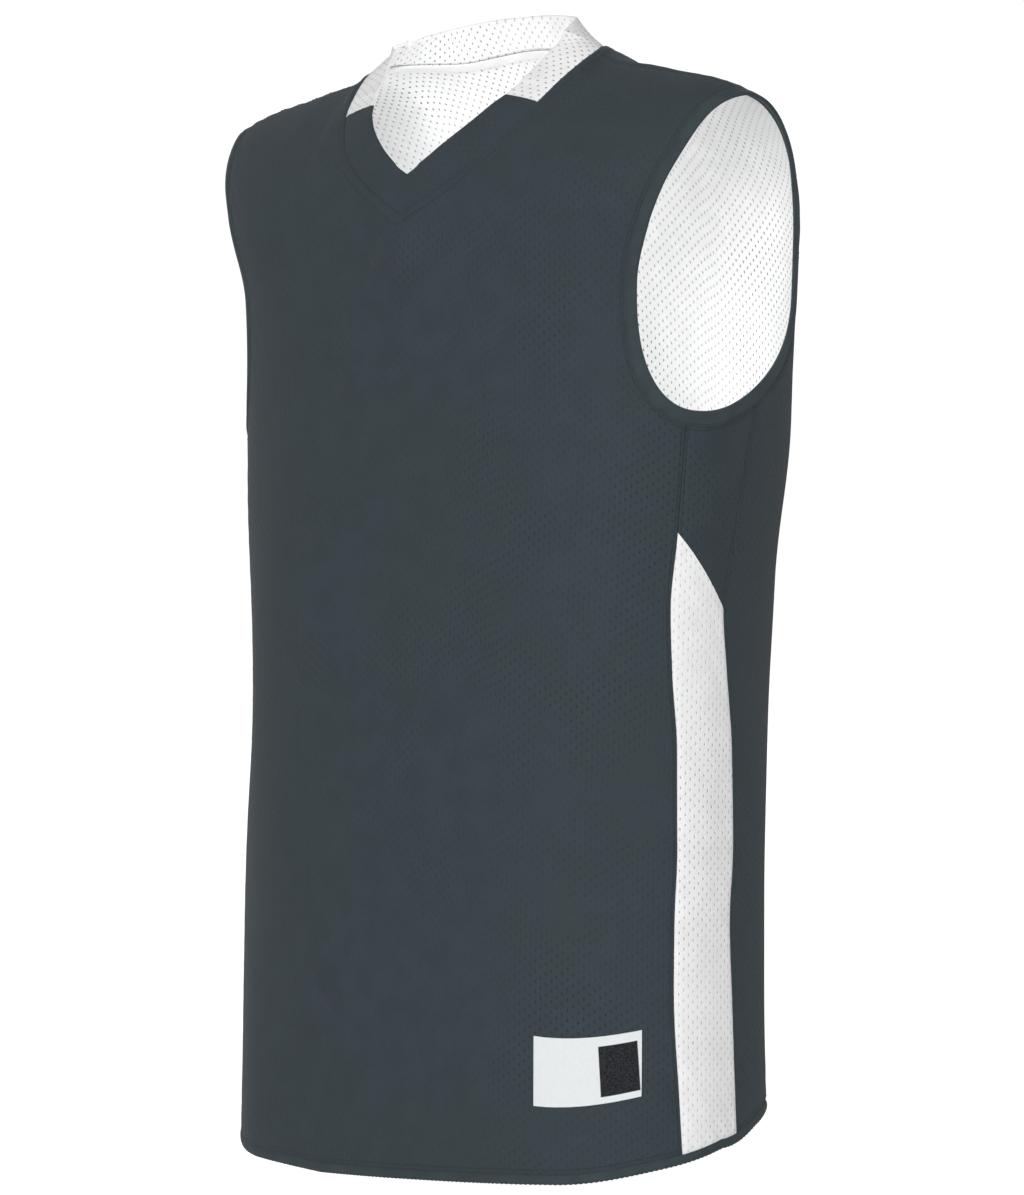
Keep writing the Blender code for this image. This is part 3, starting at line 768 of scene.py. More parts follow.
def makeHolesGroup():  # the staggered holes of the mesh
    sizes = {"Across": 0.0072, "Down": 0.0066, "HoleWidth": 0.00042, "HoleHeight": 0.0008, "Wander": 0.0007}
    tree, given, made = nodeGroup("meshHoles", ("Hole", "Puff"), Vector=None, **sizes)
    drift = noise(tree, given["Vector"], 26.0, 1.0).outputs["Color"]
    drift = vectors(tree, "SUBTRACT", drift, (0.5, 0.5, 0.5))
    moved = vectors(tree, "MULTIPLY_ADD", drift, given["Wander"], given["Vector"])
    x, y, _ = split(tree, moved)
    u, v = maths(tree, "DIVIDE", x, given["Across"]), maths(tree, "DIVIDE", y, given["Down"])
    offs = []
    for way in ("ADD", "SUBTRACT"):
        at = maths(tree, way, u, v)
        offs.append(maths(tree, "SUBTRACT", at, maths(tree, "ROUND", at)))
    squares = []
    for way, pitch, size in (("ADD", "Across", "HoleWidth"), ("SUBTRACT", "Down", "HoleHeight")):
        off = times(tree, maths(tree, way, *offs), maths(tree, "DIVIDE", given[pitch], given[size]))
        squares.append(times(tree, off, off))
    apart = times(tree, maths(tree, "SQRT", maths(tree, "ADD", *squares)), 0.5)
    tree.links.new(ranged(tree, apart, 0.7, 1.3, 1.0, 0.0), made["Hole"])
    tree.links.new(ranged(tree, apart, 1.0, 3.2), made["Puff"])
    return tree


def makeKnitGroup():  # fine columns and rows of stitches
    tree, given, made = nodeGroup("fineKnit", ("Height",), Vector=None, Column=0.0009, Row=0.0011)
    x, y, _ = split(tree, given["Vector"])
    across, down = maths(tree, "DIVIDE", x, given["Column"]), maths(tree, "DIVIDE", y, given["Row"])
    column = maths(tree, "ABSOLUTE", maths(tree, "SINE", times(tree, across, pi)))
    lean = maths(tree, "MULTIPLY_ADD", column, 1.6, times(tree, down, 2 * pi))
    row = maths(tree, "MULTIPLY_ADD", maths(tree, "SINE", lean), 0.3, 0.7)
    tree.links.new(times(tree, column, row), made["Height"])
    return tree


def makePatchesGroup():  # large soft patches
    tree, given, made = nodeGroup("softPatches", ("Mask",), Vector=None, Scale=9.0, Low=0.45, High=0.6)
    cloud = noise(tree, given["Vector"], given["Scale"], 2.0).outputs["Fac"]
    tree.links.new(ranged(tree, cloud, given["Low"], given["High"]), made["Mask"])
    return tree


def makeLineGroup():  # a line at a set way from a seam
    tree, given, made = nodeGroup("seamLine", ("Line",), Way=0.0, At=0.002, Width=0.0006)
    off = maths(tree, "DIVIDE", maths(tree, "SUBTRACT", given["Way"], given["At"]), given["Width"])
    squared = times(tree, off, off)
    tree.links.new(maths(tree, "EXPONENT", times(tree, squared, -1.0)), made["Line"])
    return tree


holesGroup, knitGroup = makeHolesGroup(), makeKnitGroup()
patchesGroup, lineGroup = makePatchesGroup(), makeLineGroup()


def setSockets(node, names, values):
    for name, value in zip(names, values):
        node.inputs[name].default_value = value


def newMaterial(name, roughness, sheen):
    made = bpy.data.materials.new(name)
    made.use_nodes = True
    tree = made.node_tree
    shader = tree.nodes["Principled BSDF"]
    setSockets(shader, ("Roughness", "Sheen Weight"), (roughness, sheen))
    setSockets(shader, ("Specular IOR Level", "Sheen Roughness"), (0.35, 0.5))
    uv = tree.nodes.new("ShaderNodeUVMap")
    uv.uv_map = "cloth"
    spot = tree.nodes.new("ShaderNodeTexCoord").outputs["Object"]
    return made, tree, shader, uv.outputs[0], spot


def finishShader(tree, shader, colour, height):
    tree.links.new(colour, shader.inputs["Base Color"])
    bump = tree.nodes.new("ShaderNodeBump")
    setSockets(bump, ("Distance", "Strength"), (0.001, 1.0))
    tree.links.new(height, bump.inputs["Height"])
    tree.links.new(bump.outputs[0], shader.inputs["Normal"])


markWidth = 0.0005
seamMarks = {  # lines pressed into the cloth: how far each is from its seam
    "neckWay": 0.0064,
    "armWay": 0.0026,
    "shoulderWay": 0.0042,
    "sideWay": 0.0022,
    "hemWay": 0.0034,
}


def meshMaterial(name, look, marked=True):
    made, tree, shader, uv, spot = newMaterial(name, look["roughness"], look["sheen"])
    holes = placed(tree, holesGroup, Vector=uv, **look["holes"])
    knit = placed(tree, knitGroup, Vector=uv)["Height"]
    mottle = noise(tree, spot, 55.0, 4.0).outputs["Fac"]
    broad = placed(tree, patchesGroup, Vector=spot, Scale=6.0, Low=0.35, High=0.65)["Mask"]
    colour = mixed(tree, ranged(tree, mottle, 0.3, 0.7), look["deep"], look["pale"])
    colour = mixed(tree, times(tree, broad, look["hueShare"]), colour, look["hue"])
    shade = times(tree, maths(tree, "SUBTRACT", 1.0, knit), look["knitShade"])
    colour = mixed(tree, shade, colour, look["shadow"])
    # each patch colours the holes under its cloud; on the graphite these are painted shade inside the holes
    # and the white lining seen through them in painted shade
    for patch in look["patches"]:
        moved = vectors(tree, "ADD", spot, patch["offset"])
        mask = placed(tree, patchesGroup, Vector=moved, **patch["cloud"])["Mask"]
        share = maths(tree, "MULTIPLY_ADD", mask, patch["most"] - patch["least"], patch["least"])
        colour = mixed(tree, times(tree, share, holes["Hole"]), colour, patch["colour"])
    height = maths(tree, "MULTIPLY_ADD", knit, 0.07, times(tree, holes["Puff"], 0.12))
    height = maths(tree, "MULTIPLY_ADD", holes["Hole"], -0.25, height)
    if marked:
        for way, at in seamMarks.items():
            seen = tree.nodes.new("ShaderNodeAttribute")
            seen.attribute_name = way
            line = placed(tree, lineGroup, Way=seen.outputs["Fac"], At=at, Width=markWidth)["Line"]
            colour = mixed(tree, times(tree, line, look["lineShade"]), colour, look["shadow"])
            height = maths(tree, "MULTIPLY_ADD", line, -0.35, height)
    rough = ranged(tree, mottle, 0.2, 0.8, look["roughness"] - 0.06, look["roughness"] + 0.06)
    tree.links.new(rough, shader.inputs["Roughness"])
    finishShader(tree, shader, colour, height)
    return made


graphiteLook = {
    "deep": (0.0260, 0.0385, 0.0475),
    "pale": (0.0320, 0.0465, 0.0575),
    "hue": (0.0265, 0.0410, 0.0440),
    "hueShare": 0.4,
    "shadow": (0.010, 0.014, 0.018),
    "knitShade": 0.18,
    "lineShade": 0.25,
    "roughness": 0.8,
    "sheen": 0.05,
    "holes": {},
    "patches": (
        # darkens the holes in patches: painted shade inside them
        {
            "offset": (0, 0, 0),
            "cloud": {"Scale": 11.0, "Low": 0.46, "High": 0.62},
            "least": 0.12,
            "most": 0.80,
            "colour": (0.008, 0.012, 0.016),
        },
        # lightens the holes in patches: the white lining seen through them, darkened by painted shade
        {
            "offset": (3, 1, 2),
            "cloud": {"Scale": 10.0, "Low": 0.56, "High": 0.68},
            "least": 0.0,
            "most": 0.35,
            "colour": (0.075, 0.095, 0.110),
        },
    ),
}
whiteLook = {
    "deep": (0.82, 0.82, 0.82),
    "pale": (0.88, 0.88, 0.88),
    "hue": (0.84, 0.845, 0.85),
    "hueShare": 0.5,
    "shadow": (0.45, 0.45, 0.46),
    "knitShade": 0.10,
    "lineShade": 0.2,
    "roughness": 0.8,
    "sheen": 0.05,
    "holes": {"HoleWidth": 0.00050, "HoleHeight": 0.00092},
    "patches": (
        {
            "offset": (1, 2, 0),
            "cloud": {"Scale": 9.0, "Low": 0.40, "High": 0.62},
            "least": 0.50,
            "most": 1.00,
            "colour": (0.10, 0.10, 0.105),
        },
    ),
}


def calmer(look, least, most):  # the same cloth with its holes fainter
    return {**look, "patches": ({**look["patches"][0], "least": least, "most": most},)}


graphiteMesh = meshMaterial("graphiteMesh", graphiteLook)
whiteMesh = meshMaterial("whiteMesh", whiteLook)
insertLook = {**calmer(whiteLook, 0.18, 0.52), "holes": {"HoleWidth": 0.00036, "HoleHeight": 0.00080}}
whiteInsertMesh = meshMaterial("whiteInsertMesh", insertLook, marked=False)
collarGraphite = meshMaterial("collarGraphite", calmer(graphiteLook, 0.12, 0.35), marked=False)
collarWhite = meshMaterial("collarWhite", calmer(whiteLook, 0.45, 0.85), marked=False)


def smoothKnit(name, pale, deep, shadow):
    made, tree, shader, uv, spot = newMaterial(name, 0.78, 0.05)
    knit = placed(tree, knitGroup, Vector=uv, Column=0.0007, Row=0.0008)["Height"]
    mottle = ranged(tree, noise(tree, spot, 70.0, 4.0).outputs["Fac"], 0.3, 0.7)
    shade = times(tree, maths(tree, "SUBTRACT", 1.0, knit), 0.2)
    colour = mixed(tree, shade, mixed(tree, mottle, deep, pale), shadow)
    finishShader(tree, shader, colour, times(tree, knit, 0.1))
    return made


def threadMaterial(name, colour):
    made, tree, shader, uv, spot = newMaterial(name, 0.55, 0.1)
    strands = noise(tree, spot, 2500.0, 2.0).outputs["Fac"]
    darker = tuple(0.7 * part for part in colour)
    colour = mixed(tree, ranged(tree, strands, 0.35, 0.65), darker, colour)
    tree.links.new(colour, shader.inputs["Base Color"])
    return made


labelLook = {
    "white": (0.74, 0.77, 0.78),
    "block": (0.007, 0.008, 0.011),
    "grain": (0.35, 0.36, 0.37),
    "blockMiddle": (0.79, 0.5),
    "left": 0.652,  # the dark block, as shares of the label
    "right": 0.978,
    "bottom": 0.100,
    "top": 0.855,
    "lean": 0.036,  # and how far it is askew
    "rise": -0.01,
    "softness": 0.004,
    "weave": 220.0,  # threads across
}


def labelMaterial():
    made, tree, shader, uv, spot = newMaterial("wovenLabel", 0.75, 0.0)
    shader.inputs["Specular IOR Level"].default_value = 0.1
    x, y, _ = split(tree, uv)
    fromMiddle = [maths(tree, "SUBTRACT", way, at) for way, at in zip((x, y), labelLook["blockMiddle"])]
    across = maths(tree, "MULTIPLY_ADD", fromMiddle[1], labelLook["lean"], x)
    up = maths(tree, "MULTIPLY_ADD", fromMiddle[0], labelLook["rise"], y)
    sides, soft = [], labelLook["softness"]
    for way, low, high in ((across, "left", "right"), (up, "bottom", "top")):
        rising = ranged(tree, way, labelLook[low] - soft, labelLook[low] + soft)
        falling = ranged(tree, way, labelLook[high] + soft, labelLook[high] - soft)
        sides.append(times(tree, rising, falling))
    warp = maths(tree, "SINE", times(tree, x, labelLook["weave"] * pi))
    weft = maths(tree, "SINE", times(tree, y, labelLook["weave"] * 0.8 * pi))
    weave = times(tree, warp, weft)
    colour = mixed(tree, times(tree, *sides), labelLook["white"], labelLook["block"])
    grain = ranged(tree, noise(tree, spot, 900.0, 3.0).outputs["Fac"], 0.3, 0.7, 0.0, 0.08)
    colour = mixed(tree, grain, colour, labelLook["grain"])
    finishShader(tree, shader, colour, times(tree, weave, 0.03))
    return made


graphiteBand = smoothKnit("graphiteBand", (0.036, 0.052, 0.059), (0.029, 0.042, 0.048), (0.010, 0.015, 0.018))
whiteTape = smoothKnit("whiteTape", (0.88, 0.88, 0.88), (0.83, 0.83, 0.83), (0.5, 0.5, 0.5))
wovenLabel = labelMaterial()
graphiteThread = threadMaterial("graphiteThread", (0.040, 0.056, 0.066))
print("finishes made")


def ready(obj, finish):  # rides with the jersey, in its own finish
    obj.data.materials.append(finish)
    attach(obj, "root")
    print(obj.name, "made, with", len(obj.data.polygons), "faces")


def dress(obj, finish, slot, node, cut, area):
    ready(obj, finish)
    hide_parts(node)


# Panels and linings

ply, gap = form["ply"], form["gap"]
panels = {
    "front": {"cut": (0.53, 0.74), "area": 0.270},
    "back": {"cut": (0.60, 0.74), "area": 0.343},
    "liningFront": {"cut": (0.62, 0.74), "area": 0.314},
    "liningBack": {"cut": (0.60, 0.74), "area": 0.342},
}


def makePanels():
    for title, face, node in (("front", -1, "front_panel"), ("back", 1, "back_panel")):
        grid = whole(halfBody(face))[::-face]
        obj = clothWall(f"{title}PanelMesh", [grid], 0, ply, panelRelief)
        dress(obj, graphiteMesh, "graphite", node, **panels[title])


def makeLinings():
    inside = -ply - gap
    left = [sidePlaces(kind, backTrim=-gap) for kind in ("insert", "yoke")]
    grids = [whole(halfBody(-1)), *left, *[mirrored(grid) for grid in left]]
    obj = clothWall("frontLiningMesh", grids, inside, ply, panelRelief, pattern=aroundSide)
    dress(obj, whiteMesh, "white", "lining_front", **panels["liningFront"])
    obj = clothWall("backLiningMesh", [whole(halfBody(1))[::-1]], inside, ply, panelRelief)
    dress(obj, whiteMesh, "white", "lining_back", **panels["liningBack"])


# Side pieces

sidePieces = {
    "insert": {"finish": whiteInsertMesh, "slot": "white", "cut": (0.055, 0.40), "area": 0.0186},
    "yoke": {"finish": graphiteMesh, "slot": "graphite", "cut": (0.066, 0.14), "area": 0.0053},
}


def makeSides():
    for kind, look in sidePieces.items():
        grid = sidePlaces(kind, gap, gap, gap / 2)
        for side, places in (("Left", grid), ("Right", mirrored(grid))):
            name = f"side{kind.capitalize()}{side}Mesh"
            obj = clothWall(name, [places], 0, ply, panelRelief, pattern=aroundSide)
            dress(obj, look["finish"], look["slot"], f"side_{kind}_{side.lower()}", look["cut"], look["area"])


# Bands round the armholes and the hem

bands = {
    "proud": 0.0004,
    "thick": 0.0004 + 2 * form["ply"] + form["gap"],
    "edgeRound": 0.0012,
    "under": 0.0004,  # how far they run over the cloth's edge
    "armRows": 14,
    "armColumns": 260,
    "armCut": (0.66, 0.0105),
    "armArea": 0.0062,
    "crestAt": 0.0020,  # ridge beside the sewn edge
    "crestWidth": 0.0010,
    "crest": 0.0004,
    "hemRows": 7,
    "hemColumns": 300,  # to each quarter of the way round
    "hemCut": (1.06, 0.0100),
    "hemArea": 0.0070,
    "scallop": 0.00028,  # the edge dips at each stitch
    "stitchLength": 0.0034,
}


def armholeRing():
    tip = armholeTip()
    angles = armholeAngles(tip, tip + 2 * pi, np.linspace(0, 1, bands["armColumns"] + 1))
    margins = np.linspace(bands["edgeRound"], form["bandWidth"] + bands["under"], bands["armRows"] + 1)
    ring = np.stack([placeAt(*armholeOutline(angles, margin)) for margin in margins])
    ring[:, -1] = ring[:, 0]
    return ring[::-1]


def bandRelief(ways, uv):
    near = ways["armWay"]
    crest = bands["crest"] * bell(near - bands["crestAt"], bands["crestWidth"])
    return crest + turnedIn(near) + ripple(uv) / 2


def hemRing():
    share = np.minimum(np.linspace(0, 1, bands["hemColumns"] + 1), 1 - 1e-7)
    edges = [hemPlaces(0.0, 1.0, share, face) for face in (-1, 1)]
    half = np.concatenate([edges[0], edges[1][::-1][1:]])
    around = np.concatenate([half, (half[::-1] * (-1, 1))[1:]])
    around[-1] = around[0]
    down = np.sign(around[:, 1])[:, None] * (0, 1)
    rows = np.linspace(form["hemBand"] - bands["edgeRound"], -bands["under"], bands["hemRows"] + 1)
    ring = np.stack([around + row * down for row in rows])
    length = alongCloth(around)[:, 0]
    dip = bands["scallop"] * np.cos(2 * pi * length / bands["stitchLength"])[:, None] * down
    ring[0] += dip
    ring[1] += dip / 2
    return ring


def hemRelief(ways, uv):
    near = ways["hemWay"]
    return bands["crest"] * np.sin(pi * np.clip(near / form["hemBand"], 0, 1)) + turnedIn(near)


def makeBands():
    arm, low = armholeRing(), hemRing()
    for title, ring, row, relieved, node, part in (
        ("armholeBandLeft", arm, -1, bandRelief, "armhole_band_left", "arm"),
        ("armholeBandRight", mirrored(arm), -1, bandRelief, "armhole_band_right", "arm"),
        ("hemBand", low, 0, hemRelief, "hem_band", "hem"),
    ):
        free = freeEdge(ring, row)
        obj = clothWall(f"{title}Knit", [ring], bands["proud"], bands["thick"], relieved, free)
        dress(obj, graphiteBand, "graphite", node, bands[f"{part}Cut"], bands[f"{part}Area"])


# Collar

collarForm = {
    "thick": 0.0020,
    "edgeRound": 0.0008,
    "gap": -0.0003,  # it runs just under the edge of the body
    "mitreLap": 0.0003,
    "proud": 0.0002,
    "slant": 0.27,
    "steps": 22,
    "parts": 12,
    "puff": 0.0006,
    "frontCut": (0.15, 0.028),
    "frontArea": 0.0027,
    "backCut": (0.40, 0.028),
    "backArea": 0.0096,
}


def collarSheets():
    parts = collarForm["parts"]
    rows = np.arange(centreBack * parts + 1) / parts
    nudge = 0.05
    places = neckPlaces(rows)
    seam = shell(places)
    along = shell(neckPlaces(np.minimum(rows + nudge, centreBack)))
    along = along - shell(neckPlaces(np.maximum(rows - nudge, 0)))
    along[-1] *= (1, 0, 0)
    along = unit(along)
    normal = outward(places[:, 0], places[:, 1])
    inward = np.cross(normal, along)
    mitre = np.interp(rows, (0, 1), (inward[0, 0] / along[0, 0], 0))
    around = (colourChange - 1, colourChange, colourChange + 1)
    inward -= along * (mitre + np.interp(rows, around, (0, collarForm["slant"], 0)))[:, None]
    lean = np.radians(flowing(rows, neck["lean"]))[:, None]
    rising = inward * np.cos(lean) + normal * np.sin(lean)
    facing = normal * np.cos(lean) - inward * np.sin(lean)
    width = flowing(rows, neck["width"])[:, None] - collarForm["edgeRound"]
    ways = np.linspace(0, 1, collarForm["steps"] + 1)[:, None, None]
    up = collarForm["gap"] + (width - collarForm["gap"]) * ways
    puff = collarForm["puff"] * np.sin(pi * ways) + turnedIn(up)
    outer = seam + up * rising + (collarForm["proud"] + puff) * facing
    inner = seam + up * rising + (collarForm["proud"] - collarForm["thick"] - puff * 0.5) * facing
    uv = np.stack(np.broadcast_arrays(lengthAlong(seam)[None], up[..., 0]), -1)
    return outer, inner, along, uv


def makeCollar():
    outer, inner, along, uv = collarSheets()
    join = colourChange * collarForm["parts"]
    trim = along[join] * gap / 2
    left, back = [], []
    for sheet in (outer, inner):
        part = sheet[:, : join + 1].copy()
        part[:, 0, 0] = -collarForm["mitreLap"]
        part[:, -1] -= trim
        left.append(part)
        half = sheet[:, join:].copy()
        half[:, 0] += trim
        back.append(np.concatenate([half, half[:, -2::-1] * (-1, 1, 1)], axis=1))
    uvLeft, uvBack = uv[:, : join + 1], uv[:, join:]
    uvBack = np.concatenate([uvBack, uvBack[:, -2::-1] * (-1, 1) + (2 * uv[0, -1, 0], 0)], axis=1)
    right, uvRight = [sheet[:, ::-1] * (-1, 1, 1) for sheet in left], uvLeft[:, ::-1] * (-1, 1)
    made = (
        ("collarFrontLeftMesh", left, uvLeft, collarGraphite, "collar_front_left", "front"),
        ("collarFrontRightMesh", right, uvRight, collarGraphite, "collar_front_right", "front"),
        ("collarBackMesh", back, uvBack, collarWhite, "collar_back", "back"),
    )
    for name, sheets, cloth, finish, node, part in made:
        flat = [sheet.reshape(-1, 3) for sheet in sheets]
        obj = wall(name, *flat, gridFaces(*cloth.shape[:2]), cloth.reshape(-1, 2), freeEdge(cloth, -1))
        slot = "white" if part == "back" else "graphite"
        dress(obj, finish, slot, node, collarForm[f"{part}Cut"], collarForm[f"{part}Area"])


# Label

label = {
    "x": (0.1138, 0.1715),
    "middle": -0.6603,
    "halfHeight": 0.0217,
    "rise": 0.093,
    "sag": 0.0030,
    "taper": 0.0006,
    "thick": 0.0010,
    "proud": 0.0014,
    "size": (0.0577, 0.0456),
    "edgeDepth": 0.0006,  # its edge is pressed down, and the stitching inside it
    "edgeWidth": 0.0012,
    "seamDepth": 0.00025,
    "seamAt": 0.0020,
    "seamWidth": 0.0006,
    "cut": (0.0600, 0.0440),
    "area": 0.0026,
    "steps": (58, 46),
}


def makeLabel():
    ways = [np.linspace(0, 1, steps + 1) for steps in label["steps"]]
    across, up = np.meshgrid(*ways)
    low, high = label["x"]
    x, along = low + (high - low) * across, 2 * across - 1
    half = label["halfHeight"] - label["taper"] * along
    height = label["middle"] + (2 * up - 1) * half + label["rise"] * (x - (low + high) / 2)
    height -= label["sag"] * (1 - along**2)
    share = np.arcsin(x / section("halfWidth", height)) * 2 / pi
    places = np.stack([share, lapAt(share, height, -1)], -1)
    uv = np.stack([across, up], -1).reshape(-1, 2)
    toEdge = [np.minimum(way, 1 - way) * size for way, size in zip((across, up), label["size"])]
    edge = np.minimum(*toEdge).ravel()

    def labelRelief(ways, uv):
        pressed = label["seamDepth"] * bell(edge - label["seamAt"], label["seamWidth"])
        return -label["edgeDepth"] * bell(edge, label["edgeWidth"]) - pressed

    obj = clothWall("labelPatchWoven", [places], label["proud"], label["thick"], labelRelief, uv=uv)
    dress(obj, wovenLabel, "label", "label_patch", label["cut"], label["area"])


# Tape over the neck seam, inside the back

tape = {
    "width": 0.0060,
    "over": -0.0014,  # its top edge lies on the collar
    "thick": 0.0010,
    "lift": 0.0002,
    "puff": 0.0004,
    "rows": 8,
    "columns": 150,
    "cut": (0.26, 0.012),
    "area": 0.00165,
}


def besideNeck(rows, way):  # places a way out from the neck seam
    places = neckPlaces(rows)
    nudge = 0.04
    run = neckPlaces(np.minimum(rows + nudge, centreBack)) - neckPlaces(np.maximum(rows - nudge, 0))
    run[rows >= centreBack, 1] = 0
    share, lap = np.moveaxis(places, -1, 0)
    wide = np.linalg.norm(bareShell(share + fineNudge, lap) - bareShell(share - fineNudge, lap), axis=-1)
    wide /= 2 * fineNudge
    across, along = -run[:, 1], run[:, 0] * wide
    length = np.hypot(across, along)
    return places - np.stack([across / wide, along], -1) / length[:, None] * way


def makeTape():
    rows = np.linspace(shoulderPoint, centreBack, tape["columns"] + 1)
    ways = np.linspace(0, 1, tape["rows"] + 1)
    margins = tape["over"] + (tape["width"] - tape["over"]) * ways
    half = np.stack([besideNeck(rows, margin) for margin in margins])
    half[:, -1, 0] = 0
    grid = np.concatenate([half[:, :-1] * (-1, 1), half[:, ::-1]], axis=1)
    down = np.broadcast_to(ways[:, None], grid.shape[:2]).ravel()
    flat = np.round(grid.reshape(-1, 2), 6)
    order = np.unique(flat, axis=0, return_index=True)[1]

    def tapeRelief(ways, uv):
        return -tape["puff"] * np.sin(pi * down[order]) ** 0.5

    inside = -2 * ply - gap - tape["lift"]
    obj = clothWall("neckTapeKnit", [grid], inside, tape["thick"], tapeRelief)
    dress(obj, whiteTape, "white", "neck_tape", tape["cut"], tape["area"])


# Stitches

thread = {
    "length": 0.0027,
    "pitch": 0.0034,
    "half": 0.00022,  # half the thread's width
    "sunk": 0.0004,  # how far its ends dip
    "segments": 6,
    "rings": 5,
    "shoulderStart": 0.008,  # from the neck seam
    "shoulderEnd": 0.01,  # short of the armhole, as a share
    "armMargin": 1.3,  # of the band's width
    "sidePiece": (-0.0077, 0.0277),  # its middle at the hem, and half its width
}


def modelStitch():
    bpy.ops.object.select_all(action="DESELECT")
    bpy.ops.mesh.primitive_uv_sphere_add(segments=thread["segments"], ring_count=thread["rings"], radius=1)
    stitch = bpy.context.object
    stitch.rotation_euler = (0, pi / 2, 0)
    bpy.ops.object.transform_apply(location=True, rotation=True, scale=True)
    bpy.ops.object.mode_set(mode="EDIT")
    bpy.ops.mesh.select_all(action="SELECT")
    half = thread["half"]
    bpy.ops.transform.resize(value=(thread["length"] / 2, half, half))
    bpy.ops.object.mode_set(mode="OBJECT")
    for vertex in stitch.data.vertices:  # the ends dip into the cloth
        vertex.co.z -= thread["sunk"] * (2 * vertex.co.x / thread["length"]) ** 4
    return stitch


def sewn(name, lines):  # lines of points and normals
    stitch, pitch = modelStitch(), thread["pitch"]
    shape = np.array([vertex.co for vertex in stitch.data.vertices])
    corners = [tuple(face.vertices) for face in stitch.data.polygons]
    points, faces = [], []
    for line, normals in lines:
        length = lengthAlong(line)
        for at in np.arange(pitch / 2, length[-1], pitch):
            middle, ahead, normal = (
                np.array([np.interp(spot, length, part) for part in values.T])
                for spot, values in ((at, line), (at + pitch / 4, line), (at, normals))
            )
            along, normal = unit(ahead - middle), unit(normal)
            side = unit(np.cross(normal, along))
            turned = np.stack([along, side, np.cross(along, side)])
            faces += [tuple(corner + len(points) * len(shape) for corner in face) for face in corners]
            points.append(middle + shape @ turned)
    bpy.data.objects.remove(stitch)
    ready(addMesh(name, np.concatenate(points), faces), graphiteThread)
    print(len(points), "stitches")


def onCloth(places):
    raised = panelRelief(seamWays(shell(places)), alongCloth(places))
    return shell(places, raised), outward(places[:, 0], places[:, 1])


def bothWays(places):
    return [onCloth(places), onCloth(places * (-1, 1))]


def makeStitches():
    neckLine = bothWays(besideNeck(np.linspace(0, centreBack, 500), relief["neckStep"]))
    tip = armholeTip()
    angles = armholeAngles(tip, tip + 2 * pi, np.linspace(0, 1, 500))
    armLine = bothWays(placeAt(*armholeOutline(angles, form["bandWidth"] * thread["armMargin"])))
    start = besideNeck(np.array([float(shoulderPoint)]), thread["shoulderStart"])[0, 0]
    share = np.linspace(start, shoulder["tipShare"] - thread["shoulderEnd"], 80)
    shoulderLine = bothWays(np.stack([share, shoulderLap(share) - seamMarks["shoulderWay"]], -1))
    sewn("bodyStitches", neckLine + armLine + shoulderLine)
    hemLines, (middle, half) = [], thread["sidePiece"]
    for face in (-1, 1):
        edge = hemPlaces(0.0, 1.0, np.linspace(0, 0.9999, 500), face)
        beyond = np.abs(shell(edge)[:, 1] - middle) > half
        hemLines += bothWays((edge - (0, face * seamMarks["hemWay"]))[beyond])
    sewn("hemStitches", hemLines)


makePanels()
makeLinings()
print("panels and linings made")
makeSides()
makeBands()
makeCollar()
makeTape()
makeLabel()
print("sides, bands, collar, tape and label made")
makeStitches()
print("stitches made")

# Floor, light and camera

studio = {
    "floorDrop": 0.05,
    "floorSize": 60,
    "floorGlow": 0.70,
    "worldStrength": 0.59,
    "worldFall": 0.55,  # how much less comes from straight above, and more from below
    "sunTurn": 31,  # degrees to the wearer's left of straight ahead
    "sunHeight": 14,
    "sunSpread": 26,
    "sunStrength": 2.15,
    "lampPlaces": ((0.0, 0.0, -0.13), (0.0, 0.0, -0.45)),  # small lamps inside
    "lampPower": 0.33,
    "lampSize": 0.05,
    "cameraTurn": 40,
    "distance": 4.0,
    "height": -0.42,
    "focal": 6040,  # in dots of a frame of this size
    "centre": (492.5, 690.0),
    "frameSize": (1024, 1195),
}


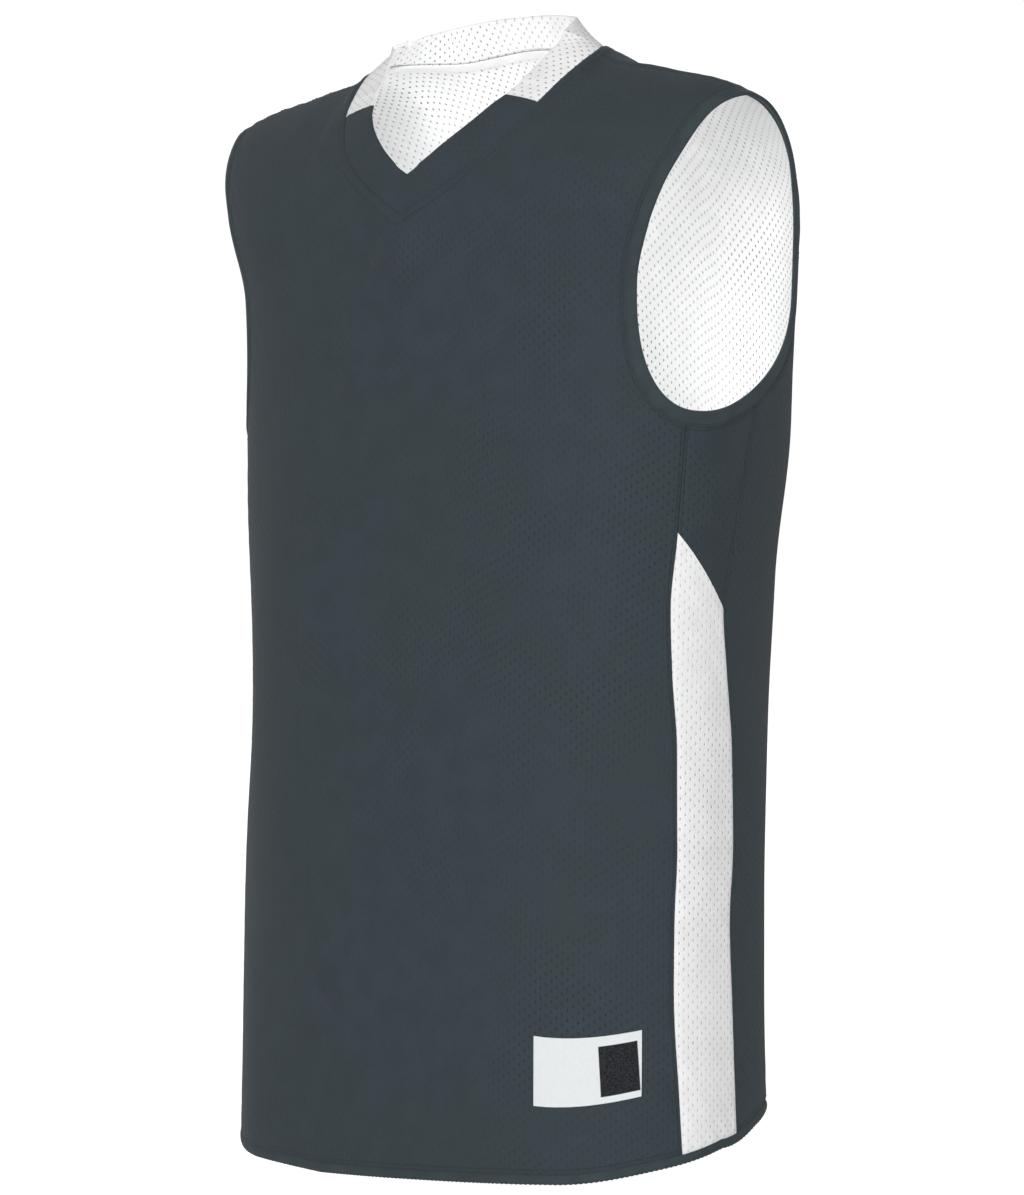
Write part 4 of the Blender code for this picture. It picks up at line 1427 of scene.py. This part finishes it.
def makeFloor():
    bpy.ops.object.select_all(action="DESELECT")
    lowest = cadBox[0][2] - studio["floorDrop"]
    bpy.ops.mesh.primitive_plane_add(size=studio["floorSize"], location=(0, 0, 0))
    floor = bpy.context.object
    floor.name = "studioFloor"
    for vertex in floor.data.vertices:
        vertex.co.z = lowest
    pale = bpy.data.materials.new("paleFloor")
    pale.use_nodes = True
    tree = pale.node_tree
    shader = tree.nodes["Principled BSDF"]
    setSockets(shader, ("Base Color", "Roughness", "Emission Color"), ((0.9, 0.9, 0.9, 1), 0.9, (1, 1, 1, 1)))
    seen = tree.nodes.new("ShaderNodeLightPath").outputs["Is Camera Ray"]
    tree.links.new(times(tree, seen, studio["floorGlow"]), shader.inputs["Emission Strength"])
    floor.data.materials.append(pale)


def addLamp(name, kind, power):
    made = bpy.data.lights.new(name, kind)
    made.energy = power
    lamp = bpy.data.objects.new(name, made)
    scene.collection.objects.link(lamp)
    return lamp


def makeLight():
    world = bpy.data.worlds.new("studioWorld")
    world.use_nodes = True
    tree = world.node_tree
    background = tree.nodes["Background"]
    background.inputs["Color"].default_value = (1, 1, 1, 1)
    seen = tree.nodes.new("ShaderNodeLightPath").outputs["Is Camera Ray"]
    _, _, up = split(tree, tree.nodes.new("ShaderNodeTexCoord").outputs["Generated"])
    even, fall = studio["worldStrength"], studio["worldFall"]
    glow = maths(tree, "MULTIPLY_ADD", up, -fall * even, even)
    strength = maths(tree, "ADD", times(tree, maths(tree, "SUBTRACT", 1.05, glow), seen), glow)
    tree.links.new(strength, background.inputs["Strength"])
    scene.world = world
    for place in studio["lampPlaces"]:
        lamp = addLamp("insideLamp", "POINT", studio["lampPower"])
        lamp.data.shadow_soft_size = studio["lampSize"]
        lamp.location = place
        lamp.visible_camera = False
    sun = addLamp("studioSun", "SUN", studio["sunStrength"])
    sun.data.angle = np.radians(studio["sunSpread"])
    sun.rotation_euler = (pi / 2 - np.radians(studio["sunHeight"]), 0, np.radians(studio["sunTurn"]))


def makeCamera():
    turn = np.radians(studio["cameraTurn"])
    wide, high = studio["frameSize"]
    lens = bpy.data.cameras.new("studioCamera")
    lens.sensor_width = 36
    lens.lens = studio["focal"] * lens.sensor_width / high
    lens.shift_x = (wide / 2 - studio["centre"][0]) / high
    lens.shift_y = (studio["centre"][1] - high / 2) / high
    lens.clip_end = 200
    camera = bpy.data.objects.new("studioCamera", lens)
    away = studio["distance"]
    camera.location = (away * np.sin(turn), -away * np.cos(turn), studio["height"])
    camera.rotation_euler = (pi / 2, 0, turn)
    scene.collection.objects.link(camera)
    scene.camera = camera


makeFloor()
makeLight()
makeCamera()
print("studio made")
